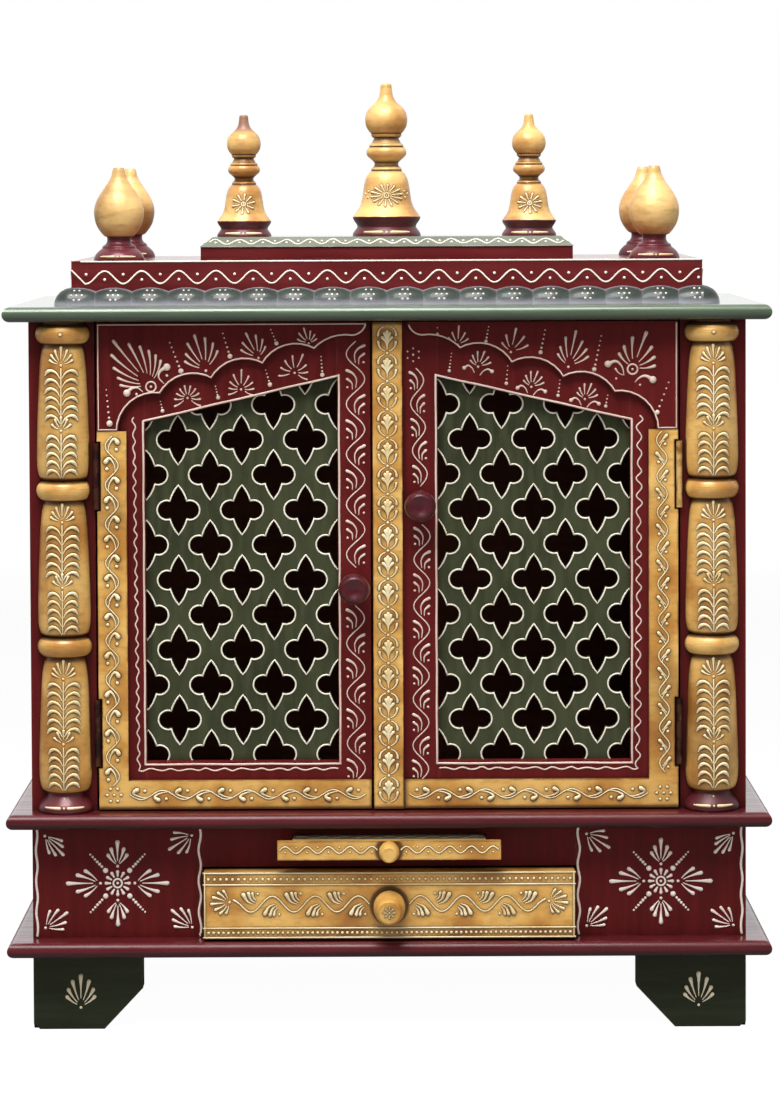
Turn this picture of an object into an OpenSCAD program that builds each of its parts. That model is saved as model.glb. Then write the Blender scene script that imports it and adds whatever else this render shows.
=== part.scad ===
// Home temple: a small painted wooden shrine cabinet that stands on four bracket feet.
// A drawer and a pull-out tray sit in its base, two doors with pierced grilles close the
// shrine above, and a stepped roof carries turned spires. Millimetres, +Z up, front at -Y.

/* [Slabs] */
// Width of the three slabs across the front
slab_w = 610; // [500:5:760]
// Depth of the three slabs
slab_d = 305; // [250:5:400]
// Thickness of each slab, whose edges are fully rounded
slab_t = 12; // [9:1:20]
// How far the slabs reach past the cabinet's front
front_overhang = 26; // [24:1:45]
// How far the slabs reach past each side of the cabinet
side_overhang = 18.5; // [10:0.5:40]
// How far the slabs reach past the cabinet's back
rear_overhang = 10; // [0:1:40]

/* [Cabinet] */
// Height of the shrine between the middle slab and the roof slab
case_h = 393; // [320:1:480]
// Thickness of the side walls and of the base's boards
wall_t = 12; // [9:1:18]
// Thickness of the back panel
back_t = 6; // [4:1:12]
// Width of the front stile on each side of the doors
stile_w = 52.5; // [46:0.5:60]
// Thickness of the front stiles
stile_t = 16; // [12:1:22]

/* [Pillars] */
// Largest radius of the half-round pillars
pillar_r = 22; // [16:0.5:22]
// Height of each turned ring on a pillar
ring_h = 16; // [10:0.5:20]
// Height of the plain cap on top of a pillar
pillar_cap_h = 2; // [1:0.5:10]
// Distance from the door opening to the widest part of a pillar
pillar_margin = 3; // [2.5:0.5:8]

/* [Feet] */
// Height of the bracket feet
foot_h = 62; // [40:1:90]
// Width of a foot's front board
foot_w = 88; // [60:1:130]
// Depth of a foot's side board
foot_d = 80; // [50:1:110]
// Thickness of the foot boards
foot_t = 16; // [10:1:22]
// Width of the slanted inner corner of a foot
foot_cut_w = 31; // [10:1:35]
// Height of the slanted inner corner of a foot
foot_cut_h = 33; // [10:1:36]
// Size of the cut-off outer corner at the bottom of a foot
foot_corner = 5; // [1:0.5:8]

/* [Base] */
// Height of the base box between the bottom slab and the middle slab
base_h = 91; // [80:1:140]
// Width of the middle bay that holds the drawer and the tray
bay_w = 300; // [240:1:380]
// Height of the drawer opening
drawer_bay_h = 57; // [45:1:58]
// Thickness of the board on each side of the drawer
guide_t = 10; // [6:1:14]

/* [Drawer] */
// How far the drawer stands open at rest
drawer_out = 17; // [0:1:30]
// Clearance round the drawer front
drawer_gap = 1.5; // [1:0.1:3]
// Clearance under the drawer, which slides on the bottom slab
slide_gap = 0.3; // [0.2:0.1:0.6]
// Thickness of the drawer front
drawer_front_t = 18; // [12:1:22]
// Thickness of the drawer's sides and back
drawer_side_t = 8; // [6:1:12]
// Thickness of the drawer's bottom
drawer_bottom_t = 5; // [3:0.5:8]
// Height of the drawer's sides
drawer_side_h = 42; // [30:1:50]
// Length of the drawer's sides behind the front
drawer_l = 200; // [120:1:215]
// Length of the drawer's knob
drawer_knob_l = 31; // [20:1:40]
// Radius of the drawer's knob at its foot
drawer_knob_r = 12.5; // [8:0.5:16]

/* [Tray] */
// How far the tray stands open at rest
tray_out = 21; // [0:1:40]
// Width of the tray board
tray_w = 154; // [100:1:200]
// Thickness of the tray board
tray_t = 8; // [5:0.5:8]
// Length of the tray board behind its lip
tray_l = 190; // [100:1:230]
// How far the lip reaches past each side of the tray board
lip_reach = 12; // [6:1:25]
// Height of the tray's lip
lip_h = 15; // [14:0.5:18]
// Thickness of the tray's lip
lip_t = 6; // [4:0.5:10]
// Height of the tray's top above the drawer opening
tray_rise = 25; // [20:0.5:26]
// Clearance round the tray board in its slot
tray_gap = 1; // [0.5:0.1:2]
// Length of the tray's knob
tray_knob_l = 19; // [10:1:25]
// Radius of the tray's knob at its foot
tray_knob_r = 8; // [5:0.5:8]

/* [Doors] */
// Clearance round the doors and where they meet
door_gap = 2; // [1.5:0.1:4]
// Clearance above and under the doors
door_end_gap = 1.5; // [1:0.1:4]
// Thickness of the door frames
door_t = 16; // [12:1:22]
// Width of the visible opening in each door
lattice_w = 154; // [120:1:160]
// Distance from the cabinet's middle to the openings in the doors
lattice_start = 40; // [36:1:50]
// Height of a door's bottom rail
bottom_rail_h = 37.5; // [28:0.5:60]
// Height from a door's top to the low, outer end of its opening's slanted edge
top_rail_outer_h = 80; // [76:1:110]
// Height from a door's top to the high, inner end of its opening's slanted edge
top_rail_inner_h = 44; // [40:1:60]
// Thickness of the boards laid on the door frames
trim_t = 5; // [3:0.5:5]
// Width of the upright strip along a door's hinged side
side_trim_w = 23.5; // [18:0.5:28]
// Height of the strip along a door's bottom
bottom_trim_h = 23; // [18:0.5:27]
// Width of the strip that covers the joint between the doors
cover_w = 23.5; // [16:0.5:23.5]
// Thickness of the strip that covers the joint between the doors
cover_t = 7; // [4:0.5:9]

/* [Arch] */
// Distance from the middle to the arch's point
arch_point_u = 16; // [14:0.5:18]
// Distance from a door's top to the arch's point
arch_point_drop = 2.5; // [2:0.5:5]
// Distance from a door's top to the first cusp
arch_first_drop = 22; // [18:0.5:30]
// Distance from a door's top to the last cusp
arch_last_drop = 57; // [50:0.5:66]
// Rise of each curve between two cusps
arch_rise = 9; // [5:0.5:10]
// Distance from a door's top to the arch's foot
arch_foot_drop = 86.5; // [80:0.5:110]

/* [Lattice] */
// Thickness of the pierced grille
lattice_t = 5; // [3:0.5:7]
// How far the grille reaches behind the door frame
lattice_lap = 8; // [5:0.5:8]
// Distance between pierced flowers in a row
flower_pitch_w = 51; // [44:0.5:60]
// Distance between rows of pierced flowers
flower_pitch_h = 28.2; // [24:0.1:34]
// Half the height of a pierced flower, at its pointed tips
flower_tip = 18.8; // [14:0.1:20]
// Half the width of the pointed upright opening of a flower
flower_waist = 6.9; // [5:0.1:8]
// Radius of a flower's two round side lobes
flower_lobe_r = 7; // [5:0.1:8]
// Distance from a flower's centre to the middle of a side lobe
flower_lobe_x = 9.3; // [6:0.1:11]

/* [Hinges] */
// Length of a hinge
hinge_l = 53; // [36:1:70]
// Radius of a hinge's knuckle
knuckle_r = 2.5; // [2:0.1:3]
// Radius of a hinge's pin
pin_r = 1.2; // [1:0.1:1.5]
// Clearance between the pin and its bore
pin_gap = 0.05; // [0.01:0.01:0.1]
// Thickness of a hinge leaf
leaf_t = 0.7; // [0.5:0.1:0.7]
// Depth of a hinge leaf
leaf_d = 13; // [9:1:15]
// Height of the lower hinge's middle above the shrine's floor
lower_hinge_z = 62.5; // [40:0.5:120]
// Distance from the shrine's ceiling to the upper hinge's middle
upper_hinge_drop = 124; // [118:0.5:160]

/* [Roof] */
// Width of the lower roof tier
tier_w = 508; // [400:1:560]
// Depth of the lower roof tier
tier_d = 203; // [150:1:240]
// Height of the lower roof tier
tier_h = 35.5; // [25:0.5:60]
// Thickness of the boards of the roof tiers
tier_t = 10; // [6:1:14]
// Radius of each petal on the moulding round the lower tier
petal_r = 14; // [12:0.5:17]
// Depth of the notches between the petals
petal_dip = 3; // [1:0.5:5]
// Distance from a tier corner to the middle of the nearest petal
petal_inset = 5; // [3:0.5:12]
// Number of petals along the front
petals_front = 18; // [14:1:22]
// Number of petals along each side
petals_side = 7; // [5:1:9]
// Width of the upper roof tier
upper_w = 305; // [250:1:400]
// Depth of the upper roof tier
upper_d = 100; // [70:1:140]
// Height of the upper roof tier
upper_h = 10; // [6:1:30]
// Height of the slanted cap on the upper tier
cap_h = 8; // [5:1:14]
// How far the cap's sides slant in
cap_run = 10.6; // [5:0.1:16]
// How far the cap's foot stands past the upper tier
cap_lip = 1; // [0:0.5:4]

/* [Spires] */
// Size of the middle spire, as a share of the drawn one
centre_spire_scale = 0.99; // [0.8:0.01:1.2]
// Size of the side spires, as a share of the drawn one
side_spire_scale = 0.79; // [0.6:0.01:1]
// Distance from the middle spire to each side spire
spire_pitch = 118.6; // [90:0.1:125]
// Size of the corner finials, as a share of the drawn one
finial_scale = 1; // [0.8:0.01:1.1]
// Distance from the lower tier's edges to the finials' middles
finial_inset = 36; // [26:0.5:42]

/* [Knobs] */
// Radius of the door knobs
door_knob_r = 12.5; // [8:0.5:13]
// Length of the door knobs
door_knob_l = 24; // [15:0.5:30]
// Height of the left door's knob above the shrine's floor
left_knob_z = 179; // [80:1:240]
// Height of the right door's knob above the shrine's floor
right_knob_z = 245; // [80:1:250]

/* [Hidden] */
$fn = 64;
eps = 0.01;

LEFT = -1;
RIGHT = 1;
FRONT = -1;
REAR = 1;

maroon = "#5e1c22";
slab_maroon = "#6b2429";
leaf_green = "#3e503c";
roof_green = "#54705a";
foot_green = "#263026";
gold = "#cd9b46";
dark_wood = "#3a1a18";
hinge_metal = "#6d5648";

// Depth lines. The knob reaches past the slabs, and the whole stands centred on the origin.
knob_reach = max(0, drawer_out + drawer_knob_l - front_overhang);
slab_front_y = -(slab_d + knob_reach) / 2 + knob_reach;
slab_back_y = slab_front_y + slab_d;
slab_mid_y = (slab_front_y + slab_back_y) / 2;
front_y = slab_front_y + front_overhang;
back_y = slab_back_y - rear_overhang;
case_w = slab_w - 2 * side_overhang;

// Height lines
base_z = foot_h + slab_t;
base_top_z = base_z + base_h;
case_z = base_top_z + slab_t;
case_top_z = case_z + case_h;
roof_z = case_top_z + slab_t;
upper_z = roof_z + tier_h;
cap_z = upper_z + upper_h;
spire_z = cap_z + cap_h;

// Door lines, measured sideways from the middle as u
door_open_u = case_w / 2 - stile_w;
door_u = door_open_u - door_gap;
door_z = case_z + door_end_gap;
door_top_z = case_top_z - door_end_gap;
cover_u = cover_w / 2;
left_inner_u = cover_u + door_gap;
right_inner_u = -cover_u;
lattice_mid_u = lattice_start + lattice_w / 2;
lattice_end_u = lattice_start + lattice_w;
lattice_z = door_z + bottom_rail_h;
lattice_mid_z = (lattice_z + door_top_z - top_rail_outer_h) / 2;
side_trim_u = door_u - side_trim_w;
trim_top_z = door_top_z - arch_foot_drop;
hinge_u = door_open_u - door_gap / 2;
hinge_y = front_y - knuckle_r - 0.5;
hinge_zs = [case_z + lower_hinge_z, case_top_z - upper_hinge_drop];
knuckle_h = hinge_l / 3;
knuckle_gap = 0.25;
notch_w = 3;
notch_gap = 1.5;

// Drawer and tray lines
drawer_bay_top_z = base_z + drawer_bay_h;
drawer_face_y = front_y - drawer_out;
drawer_back_y = drawer_face_y + drawer_front_t;
drawer_z = base_z + slide_gap;
drawer_box_w = bay_w - 2 * drawer_gap - 2;
tray_top_z = drawer_bay_top_z + tray_rise;
tray_z = tray_top_z - tray_t;
lip_y = front_y - tray_out;
runner_t = 8;
runner_w = 24;
inner_back_y = back_y - wall_t;

// Roof lines
finial_u = tier_w / 2 - finial_inset;
finial_v = tier_d / 2 - finial_inset;

// A block from one corner to the other
module block(low, high) {
    translate(low) cube(high - low);
}

// A flat outline stood upright, from y to y + t, its second axis up
module upright(y, t) {
    translate([0, y + t, 0]) rotate([90, 0, 0]) linear_extrude(t) children();
}

// What is drawn for the right side, turned over to the left one when side is LEFT
module on_side(side) {
    mirror([side == LEFT ? 1 : 0, 0, 0]) children();
}

// Points of an arc from p to q that bulges to the left of the way by rise
function arc(p, q, rise, n = 8) =
    let (
        turn = sign(rise),
        along = q - p,
        span = norm(along),
        radius = (span * span / 4 + rise * rise) / (2 * abs(rise)),
        out = turn * [-along[1], along[0]] / span,
        middle = (p + q) / 2 + out * (abs(rise) - radius),
        half = asin(span / 2 / radius),
        lead = atan2(out[1], out[0])
    )
    [for (k = [0:n]) middle + radius * [
        cos(lead + turn * half * (1 - 2 * k / n)),
        sin(lead + turn * half * (1 - 2 * k / n))
    ]];

// A smooth line through points, with n steps between each two
function blend4(a, b, c, d, t) =
    0.5 * (2 * b + (c - a) * t + (2 * a - 5 * b + 4 * c - d) * t * t
    + (3 * b - a - 3 * c + d) * t * t * t);
function smooth(points, n = 4) =
    let (last = len(points) - 1)
    concat(
        [for (i = [0:last - 1]) for (k = [0:n - 1])
            blend4(points[max(i - 1, 0)], points[i], points[i + 1],
                points[min(i + 2, last)], k / n)],
        [points[last]]
    );

// A turned solid from a list of [radius, height] points
module turned(outline) {
    last = len(outline) - 1;
    rotate_extrude()
        polygon(concat([[0, outline[0][1]]], outline, [[0, outline[last][1]]]));
}

// ---- Slabs ----

module rounded_bar(length, thickness, width) {
    r = thickness / 2;
    rotate([90, 0, 90]) linear_extrude(length, center = true) union() {
        square([width - thickness, thickness], center = true);
        translate([width / 2 - r, 0]) circle(r);
        translate([r - width / 2, 0]) circle(r);
    }
}

module slab(z) {
    translate([0, slab_mid_y, z + slab_t / 2]) intersection() {
        rounded_bar(slab_w, slab_t, slab_d);
        rotate([0, 0, 90]) rounded_bar(slab_d, slab_t, slab_w);
    }
}

module bottom_slab() {
    color(slab_maroon) slab(foot_h);
}

module middle_slab() {
    color(slab_maroon) slab(base_top_z);
}

module roof_slab() {
    color(roof_green) slab(case_top_z);
}

// ---- Feet ----

// Outline of a foot board, its outer edge at 0 and its slanted corner inwards
function foot_outline(w) = [
    [foot_corner, 0], [w - foot_cut_w, 0], [w, foot_cut_h], [w, foot_h], [0, foot_h],
    [0, foot_corner]
];

// A bracket foot: a front board and a side board mitred into one corner
module foot(side, end) {
    color(foot_green) on_side(side)
        translate([0, end == REAR ? front_y + back_y : 0, 0])
        mirror([0, end == REAR ? 1 : 0, 0])
        union() {
            translate([case_w / 2, 0, 0]) mirror([1, 0, 0])
                upright(front_y, foot_t) polygon(foot_outline(foot_w));
            translate([case_w / 2 - foot_t, front_y, 0]) rotate([90, 0, 90])
                linear_extrude(foot_t) polygon(foot_outline(foot_d));
        }
}

// ---- Base box ----

module base_side(side) {
    color(maroon) on_side(side) block(
        [case_w / 2 - wall_t, front_y + wall_t, base_z],
        [case_w / 2, inner_back_y, base_top_z]
    );
}

module base_back() {
    color(dark_wood) block(
        [-case_w / 2, inner_back_y, base_z],
        [case_w / 2, back_y, base_top_z]
    );
}

module base_front(side) {
    color(maroon) on_side(side) block(
        [bay_w / 2, front_y, base_z],
        [case_w / 2, front_y + wall_t, base_top_z]
    );
}

// The board over the drawer, with the slot that the tray slides through
module tray_fascia() {
    color(maroon) difference() {
        block(
            [-bay_w / 2, front_y, drawer_bay_top_z],
            [bay_w / 2, front_y + wall_t, base_top_z]
        );
        block(
            [-tray_w / 2 - tray_gap, front_y - eps, tray_z - tray_gap],
            [tray_w / 2 + tray_gap, front_y + wall_t + eps, tray_top_z + tray_gap]
        );
    }
}

module drawer_guides() {
    color(dark_wood) for (side = [LEFT, RIGHT]) on_side(side) block(
        [bay_w / 2, front_y + wall_t, base_z],
        [bay_w / 2 + guide_t, inner_back_y, base_top_z]
    );
}

// Two stepped rails from the fascia to the back: the tray lies on their lower step
module tray_runners() {
    step_z = tray_z - slide_gap;
    color(dark_wood) for (side = [LEFT, RIGHT]) on_side(side) difference() {
        block(
            [tray_w / 2 + tray_gap + runner_t - runner_w, front_y + wall_t, step_z - runner_t],
            [tray_w / 2 + tray_gap + runner_t, inner_back_y, tray_top_z]
        );
        block(
            [0, front_y, step_z],
            [tray_w / 2 + tray_gap, back_y, tray_top_z + eps]
        );
    }
}

// ---- Shrine ----

module wall(side) {
    color(maroon) on_side(side) block(
        [case_w / 2 - wall_t, front_y + stile_t, case_z],
        [case_w / 2, back_y, case_top_z]
    );
}

module back_panel() {
    color(dark_wood) block(
        [wall_t - case_w / 2, back_y - back_t, case_z],
        [case_w / 2 - wall_t, back_y, case_top_z]
    );
}

module stile(side) {
    color(maroon) on_side(side) block(
        [door_open_u, front_y, case_z],
        [case_w / 2, front_y + stile_t, case_top_z]
    );
}

// Outline of one turned ring from height z
function ring_outline(z) = arc([pillar_r - 5.5, z], [pillar_r - 5.5, z + ring_h], -5.5, 10);

// Outline of the flared foot of a pillar
flare_outline = smooth([
    [pillar_r - 1, 0], [pillar_r, 1.5], [pillar_r, 4], [pillar_r - 1.4, 7],
    [pillar_r - 4.6, 0.68 * ring_h], [pillar_r - 6.6, 0.86 * ring_h], [pillar_r - 7, ring_h]
]);

// Outline of one vase of height h from height z: full low down, slim at the top
function vase_outline(z, h) = smooth([
    [pillar_r - 6.5, z], [pillar_r - 3.4, z + 0.02 * h], [pillar_r - 1.7, z + 0.055 * h],
    [pillar_r - 0.8, z + 0.12 * h], [pillar_r - 0.7, z + 0.22 * h],
    [pillar_r - 1.2, z + 0.4 * h], [pillar_r - 2, z + 0.6 * h],
    [pillar_r - 3.1, z + 0.8 * h], [pillar_r - 4.4, z + 0.92 * h], [pillar_r - 6.5, z + h]
]);

// Three vases with a ring over each, on a flared foot, split down the middle and laid on the stile
module pillar(side) {
    vase_h = (case_h - pillar_cap_h - 4 * ring_h) / 3;
    outline = concat(
        flare_outline,
        [for (k = [0:2]) each concat(
            vase_outline(ring_h + k * (vase_h + ring_h), vase_h),
            ring_outline((k + 1) * (vase_h + ring_h))
        )],
        [[pillar_r - 6, case_h - pillar_cap_h], [pillar_r - 6, case_h]]
    );
    color(gold) on_side(side) translate([door_open_u + pillar_margin + pillar_r, front_y, case_z])
        difference() {
            turned(outline);
            block([-2 * pillar_r, 0, -1], [2 * pillar_r, 2 * pillar_r, case_h + 1]);
        }
}

// ---- Roof ----

// A box with no bottom, standing on what is under it
module tier_box(w, d, h, z) {
    translate([0, slab_mid_y, z]) difference() {
        block([-w / 2, -d / 2, 0], [w / 2, d / 2, h]);
        block(
            [tier_t - w / 2, tier_t - d / 2, -eps],
            [w / 2 - tier_t, d / 2 - tier_t, h - tier_t]
        );
    }
}

module lower_tier() {
    color(maroon) tier_box(tier_w, tier_d, tier_h, roof_z);
}

// A quarter round along +X that swells at each petal and has a round end past each corner
module petal_strip(length, petals) {
    pitch = (length - 2 * petal_inset) / (petals - 1);
    swell_r = (pitch * pitch / 4 + petal_dip * petal_dip) / (2 * petal_dip);
    translate([-length / 2, 0, 0]) rotate([90, 0, 90]) rotate_extrude(angle = 90)
        intersection() {
            union() {
                for (v = [0, length]) translate([0, v]) circle(petal_r);
                intersection() {
                    union() for (k = [0:petals - 1])
                        translate([petal_r - swell_r, petal_inset + k * pitch]) circle(swell_r);
                    square([petal_r, length]);
                }
            }
            translate([0, -petal_r]) square([petal_r, length + 2 * petal_r]);
        }
}

// The moulding round the foot of the lower tier: four strips that meet at the corners
module petal_moulding() {
    color(leaf_green) translate([0, slab_mid_y, roof_z]) union() {
        for (turn = [0, 180]) rotate([0, 0, turn]) {
            translate([0, tier_d / 2, 0]) petal_strip(tier_w, petals_front);
            rotate([0, 0, 90]) translate([0, tier_w / 2, 0]) petal_strip(tier_d, petals_side);
        }
    }
}

module upper_tier() {
    color(maroon) translate([0, slab_mid_y, upper_z])
        block([-upper_w / 2, -upper_d / 2, 0], [upper_w / 2, upper_d / 2, upper_h]);
}

// Cross section of the cap, w wide at its foot
function cap_outline(w) = [[-w / 2, 0], [w / 2, 0], [w / 2 - cap_run, cap_h], [cap_run - w / 2, cap_h]];

module upper_cap() {
    w = upper_w + 2 * cap_lip;
    d = upper_d + 2 * cap_lip;
    color(leaf_green) translate([0, slab_mid_y, cap_z]) intersection() {
        upright(-d / 2, d) polygon(cap_outline(w));
        rotate([90, 0, 90]) linear_extrude(w, center = true) polygon(cap_outline(d));
    }
}

// ---- Spires and finials ----

spire_foot = smooth([
    [28.7, 0], [28.2, 2.4], [26, 5.6], [24.8, 7.4], [25, 9.4], [26.8, 12], [28.2, 14.6], [28.4, 16]
]);
spire_bell = smooth([
    [28, 16.4], [25.8, 19.6], [23, 23.8], [21.2, 28.4], [20.2, 33.8], [18.7, 43.6], [17.3, 48.6],
    [15.2, 52.4], [13, 54.4]
]);
spire_disc = smooth([[12.6, 54.8], [12.8, 56], [11.8, 57.4], [10.2, 58.8]]);
spire_ring = smooth([
    [10, 61.4], [11.4, 63], [13.6, 65], [15.8, 67], [16.7, 69.2], [16.6, 71.6], [15.4, 73.8],
    [14.2, 74.6]
]);
spire_bead = smooth([[14.4, 75.6], [13.9, 76.8], [12.2, 78], [11.6, 79.6], [10.8, 80.8]]);
spire_band = smooth([[10.4, 82.2], [11.8, 83], [12.7, 84.4], [12.9, 85.6]]);
spire_bulb = smooth([
    [12.6, 86], [14.4, 87.8], [16.9, 92], [17.8, 97.2], [17, 102.2], [14.9, 106.4], [11.6, 109.8],
    [8.2, 113], [6, 117], [5, 122], [4.5, 126.4], [3.4, 127.6]
]);

module spire(u, size) {
    color(gold) translate([u, slab_mid_y, spire_z]) scale(size)
        turned(concat(
            spire_foot, spire_bell, spire_disc, spire_ring, spire_bead, spire_band, spire_bulb
        ));
}

finial_foot = smooth([[20.6, 0], [20.2, 2.4], [18.6, 5.2], [16, 7.8], [14.4, 9]]);
finial_neck = smooth([
    [13.9, 9.6], [13.4, 11.2], [11.4, 12.6], [10.1, 14.4], [9.7, 16.6], [9.9, 18.8]
]);
finial_bulb = smooth([
    [11.6, 19.4], [13.2, 20.8], [16.4, 25], [19, 30.4], [20.3, 37.8], [19.8, 43.4], [17.8, 49.2],
    [14.6, 54.8], [10.8, 60.2], [7.8, 64.8], [5.9, 69], [5, 73], [4.2, 75]
]);

module finial(side, end) {
    color(gold) translate([side * finial_u, slab_mid_y + end * finial_v, upper_z])
        scale(finial_scale) turned(concat(finial_foot, finial_neck, finial_bulb));
}

// ---- Hinges ----

// A stack of knuckles between heights low and high
module knuckle(low, high) {
    translate([hinge_u, hinge_y, low]) cylinder(h = high - low, r = knuckle_r, $fn = 32);
}

// The leaves on the stiles, with their outer knuckles and the pins
module hinge_frame_leaves() {
    color(hinge_metal) for (side = [LEFT, RIGHT]) for (z = hinge_zs) on_side(side) union() {
        low = z - hinge_l / 2;
        block(
            [door_open_u - leaf_t, front_y, low],
            [door_open_u, front_y + leaf_d, low + hinge_l]
        );
        for (k = [0, 2]) {
            knuckle(low + k * knuckle_h, low + (k + 1) * knuckle_h);
            block(
                [door_open_u - leaf_t, hinge_y, low + k * knuckle_h],
                [door_open_u, front_y, low + (k + 1) * knuckle_h]
            );
        }
        translate([hinge_u, hinge_y, low]) cylinder(h = hinge_l, r = pin_r, $fn = 32);
    }
}

// The leaves on a door, each with the middle knuckle bored for the pin
module door_leaves(side) {
    color(hinge_metal) for (z = hinge_zs) on_side(side) difference() {
        low = z - knuckle_h / 2 + knuckle_gap;
        high = z + knuckle_h / 2 - knuckle_gap;
        union() {
            block(
                [door_u, front_y, z - hinge_l / 2],
                [door_u + leaf_t, front_y + leaf_d, z + hinge_l / 2]
            );
            knuckle(low, high);
            block([door_u, hinge_y, low], [door_u + leaf_t, front_y, high]);
        }
        translate([hinge_u, hinge_y, low - 1])
            cylinder(h = high - low + 2, r = pin_r + pin_gap, $fn = 32);
    }
}

// ---- Doors ----

function inner_u(side) = side == LEFT ? left_inner_u : right_inner_u;

// Height of the opening's slanted top edge at u
function slant_z(u) =
    door_top_z - top_rail_inner_h
    - (top_rail_outer_h - top_rail_inner_h) * (u - lattice_start) / lattice_w;

// The opening in a door's frame, let out by margin
function opening(margin) = [
    [lattice_start - margin, lattice_z - margin],
    [lattice_end_u + margin, lattice_z - margin],
    [lattice_end_u + margin, slant_z(lattice_end_u) + margin],
    [lattice_start - margin, slant_z(lattice_start) + margin]
];

// The rebate for the grille in the back of the frame
module rebate() {
    upright(front_y + door_t / 2, door_t) polygon(opening(lattice_lap));
}

module door_hinge_stile(side) {
    color(maroon) on_side(side) difference() {
        block([lattice_end_u, front_y, door_z], [door_u, front_y + door_t, door_top_z]);
        rebate();
    }
}

module door_meeting_stile(side) {
    color(maroon) on_side(side) difference() {
        block([inner_u(side), front_y, door_z], [lattice_start, front_y + door_t, door_top_z]);
        rebate();
    }
}

module door_top_rail(side) {
    color(maroon) on_side(side) difference() {
        upright(front_y, door_t) polygon([
            [lattice_start, slant_z(lattice_start)], [lattice_end_u, slant_z(lattice_end_u)],
            [lattice_end_u, door_top_z], [lattice_start, door_top_z]
        ]);
        rebate();
    }
}

module door_bottom_rail(side) {
    color(maroon) on_side(side) difference() {
        block([lattice_start, front_y, door_z], [lattice_end_u, front_y + door_t, lattice_z]);
        rebate();
    }
}

// One pierced flower: two round side lobes and an upright opening with pointed tips
module flower() {
    tip_r = (flower_tip * flower_tip + flower_waist * flower_waist) / (2 * flower_waist);
    union() {
        for (s = [-1, 1]) translate([s * flower_lobe_x, 0]) circle(flower_lobe_r);
        intersection() {
            translate([tip_r - flower_waist, 0]) circle(tip_r);
            translate([flower_waist - tip_r, 0]) circle(tip_r);
        }
    }
}

// The grille: a board pierced by rows of flowers, each row shifted half a step
module door_lattice(side) {
    rows = floor((door_top_z - lattice_z) / flower_pitch_h / 2);
    columns = floor(lattice_w / flower_pitch_w / 2) + 1;
    color(leaf_green) on_side(side) upright(front_y + door_t / 2, lattice_t) difference() {
        polygon(opening(lattice_lap - 0.3));
        intersection() {
            polygon(opening(3));
            for (i = [-rows:rows]) for (k = [-columns:columns])
                translate([
                    lattice_mid_u + (k + (i % 2 == 0 ? 0 : 0.5)) * flower_pitch_w,
                    lattice_mid_z + (i + 0.32) * flower_pitch_h
                ]) flower();
        }
    }
}

// The cusped arch board over a door: curves rise in steps to a point beside the middle
module door_arch(side) {
    first_u = lattice_start + 18;
    last_u = side_trim_u - 27.5;
    foot_u = side_trim_u + 6.5;
    function cusp(k) = [
        first_u + (last_u - first_u) * k / 3,
        door_top_z - arch_first_drop - (arch_last_drop - arch_first_drop) * k / 3
    ];
    point = [arch_point_u, door_top_z - arch_point_drop];
    shoulder = [arch_point_u + 12, door_top_z - arch_point_drop - 9];
    color(maroon) on_side(side) upright(front_y - trim_t, trim_t) polygon(concat(
        [[arch_point_u, door_top_z]],
        arc(point, shoulder, -2.5, 5),
        arc(shoulder, cusp(0), 4, 6),
        [for (k = [0:2]) each arc(cusp(k), cusp(k + 1), arch_rise)],
        arc(cusp(3), [foot_u, trim_top_z], arch_rise + 1.4),
        [[door_u, trim_top_z], [door_u, door_top_z]]
    ));
}

// The strips along a door's hinged side and bottom, notched for the hinge knuckles
module door_trim(side) {
    from_u = side == LEFT ? left_inner_u : cover_u;
    color(gold) on_side(side) difference() {
        upright(front_y - trim_t, trim_t) polygon([
            [from_u, door_z], [door_u, door_z], [door_u, trim_top_z],
            [side_trim_u, trim_top_z], [side_trim_u, door_z + bottom_trim_h],
            [from_u, door_z + bottom_trim_h]
        ]);
        for (z = hinge_zs) block(
            [door_u - notch_w, front_y - 2 * trim_t, z - hinge_l / 2 - notch_gap],
            [door_u + 1, front_y + eps, z + hinge_l / 2 + notch_gap]
        );
    }
}

module meeting_strip() {
    color(gold) block([-cover_u, front_y - cover_t, door_z], [cover_u, front_y, door_top_z]);
}

// Outline of a door knob: a short neck and a wide dished head
function knob_outline(r, l) = concat(
    smooth([[0.62 * r, 0], [0.55 * r, 0.2 * l], [0.6 * r, 0.34 * l], [0.96 * r, 0.52 * l],
        [r, 0.68 * l], [0.93 * r, 0.86 * l], [0.76 * r, 0.98 * l], [0.6 * r, l]]),
    smooth([[0.5 * r, 0.98 * l], [0.25 * r, 0.93 * l], [0, 0.92 * l]])
);

module knob_at(u, y, z, outline) {
    translate([u, y, z]) rotate([90, 0, 0]) turned(outline);
}

module door_knob(side) {
    u = side == LEFT ? (left_inner_u + lattice_start) / 2 : (cover_u + lattice_start) / 2;
    z = case_z + (side == LEFT ? left_knob_z : right_knob_z);
    color(maroon) knob_at(side * u, front_y, z, knob_outline(door_knob_r, door_knob_l));
}

// ---- Drawer ----

module drawer_front() {
    color(gold) block(
        [drawer_gap - bay_w / 2, drawer_face_y, drawer_z + drawer_gap],
        [bay_w / 2 - drawer_gap, drawer_back_y, drawer_bay_top_z - drawer_gap]
    );
}

module drawer_sides() {
    color(dark_wood) for (side = [LEFT, RIGHT]) on_side(side) block(
        [drawer_box_w / 2 - drawer_side_t, drawer_back_y, drawer_z],
        [drawer_box_w / 2, drawer_back_y + drawer_l, drawer_z + drawer_side_h]
    );
}

module drawer_back() {
    half = drawer_box_w / 2 - drawer_side_t;
    color(dark_wood) block(
        [-half, drawer_back_y + drawer_l - drawer_side_t, drawer_z + drawer_bottom_t],
        [half, drawer_back_y + drawer_l, drawer_z + drawer_side_h]
    );
}

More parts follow.
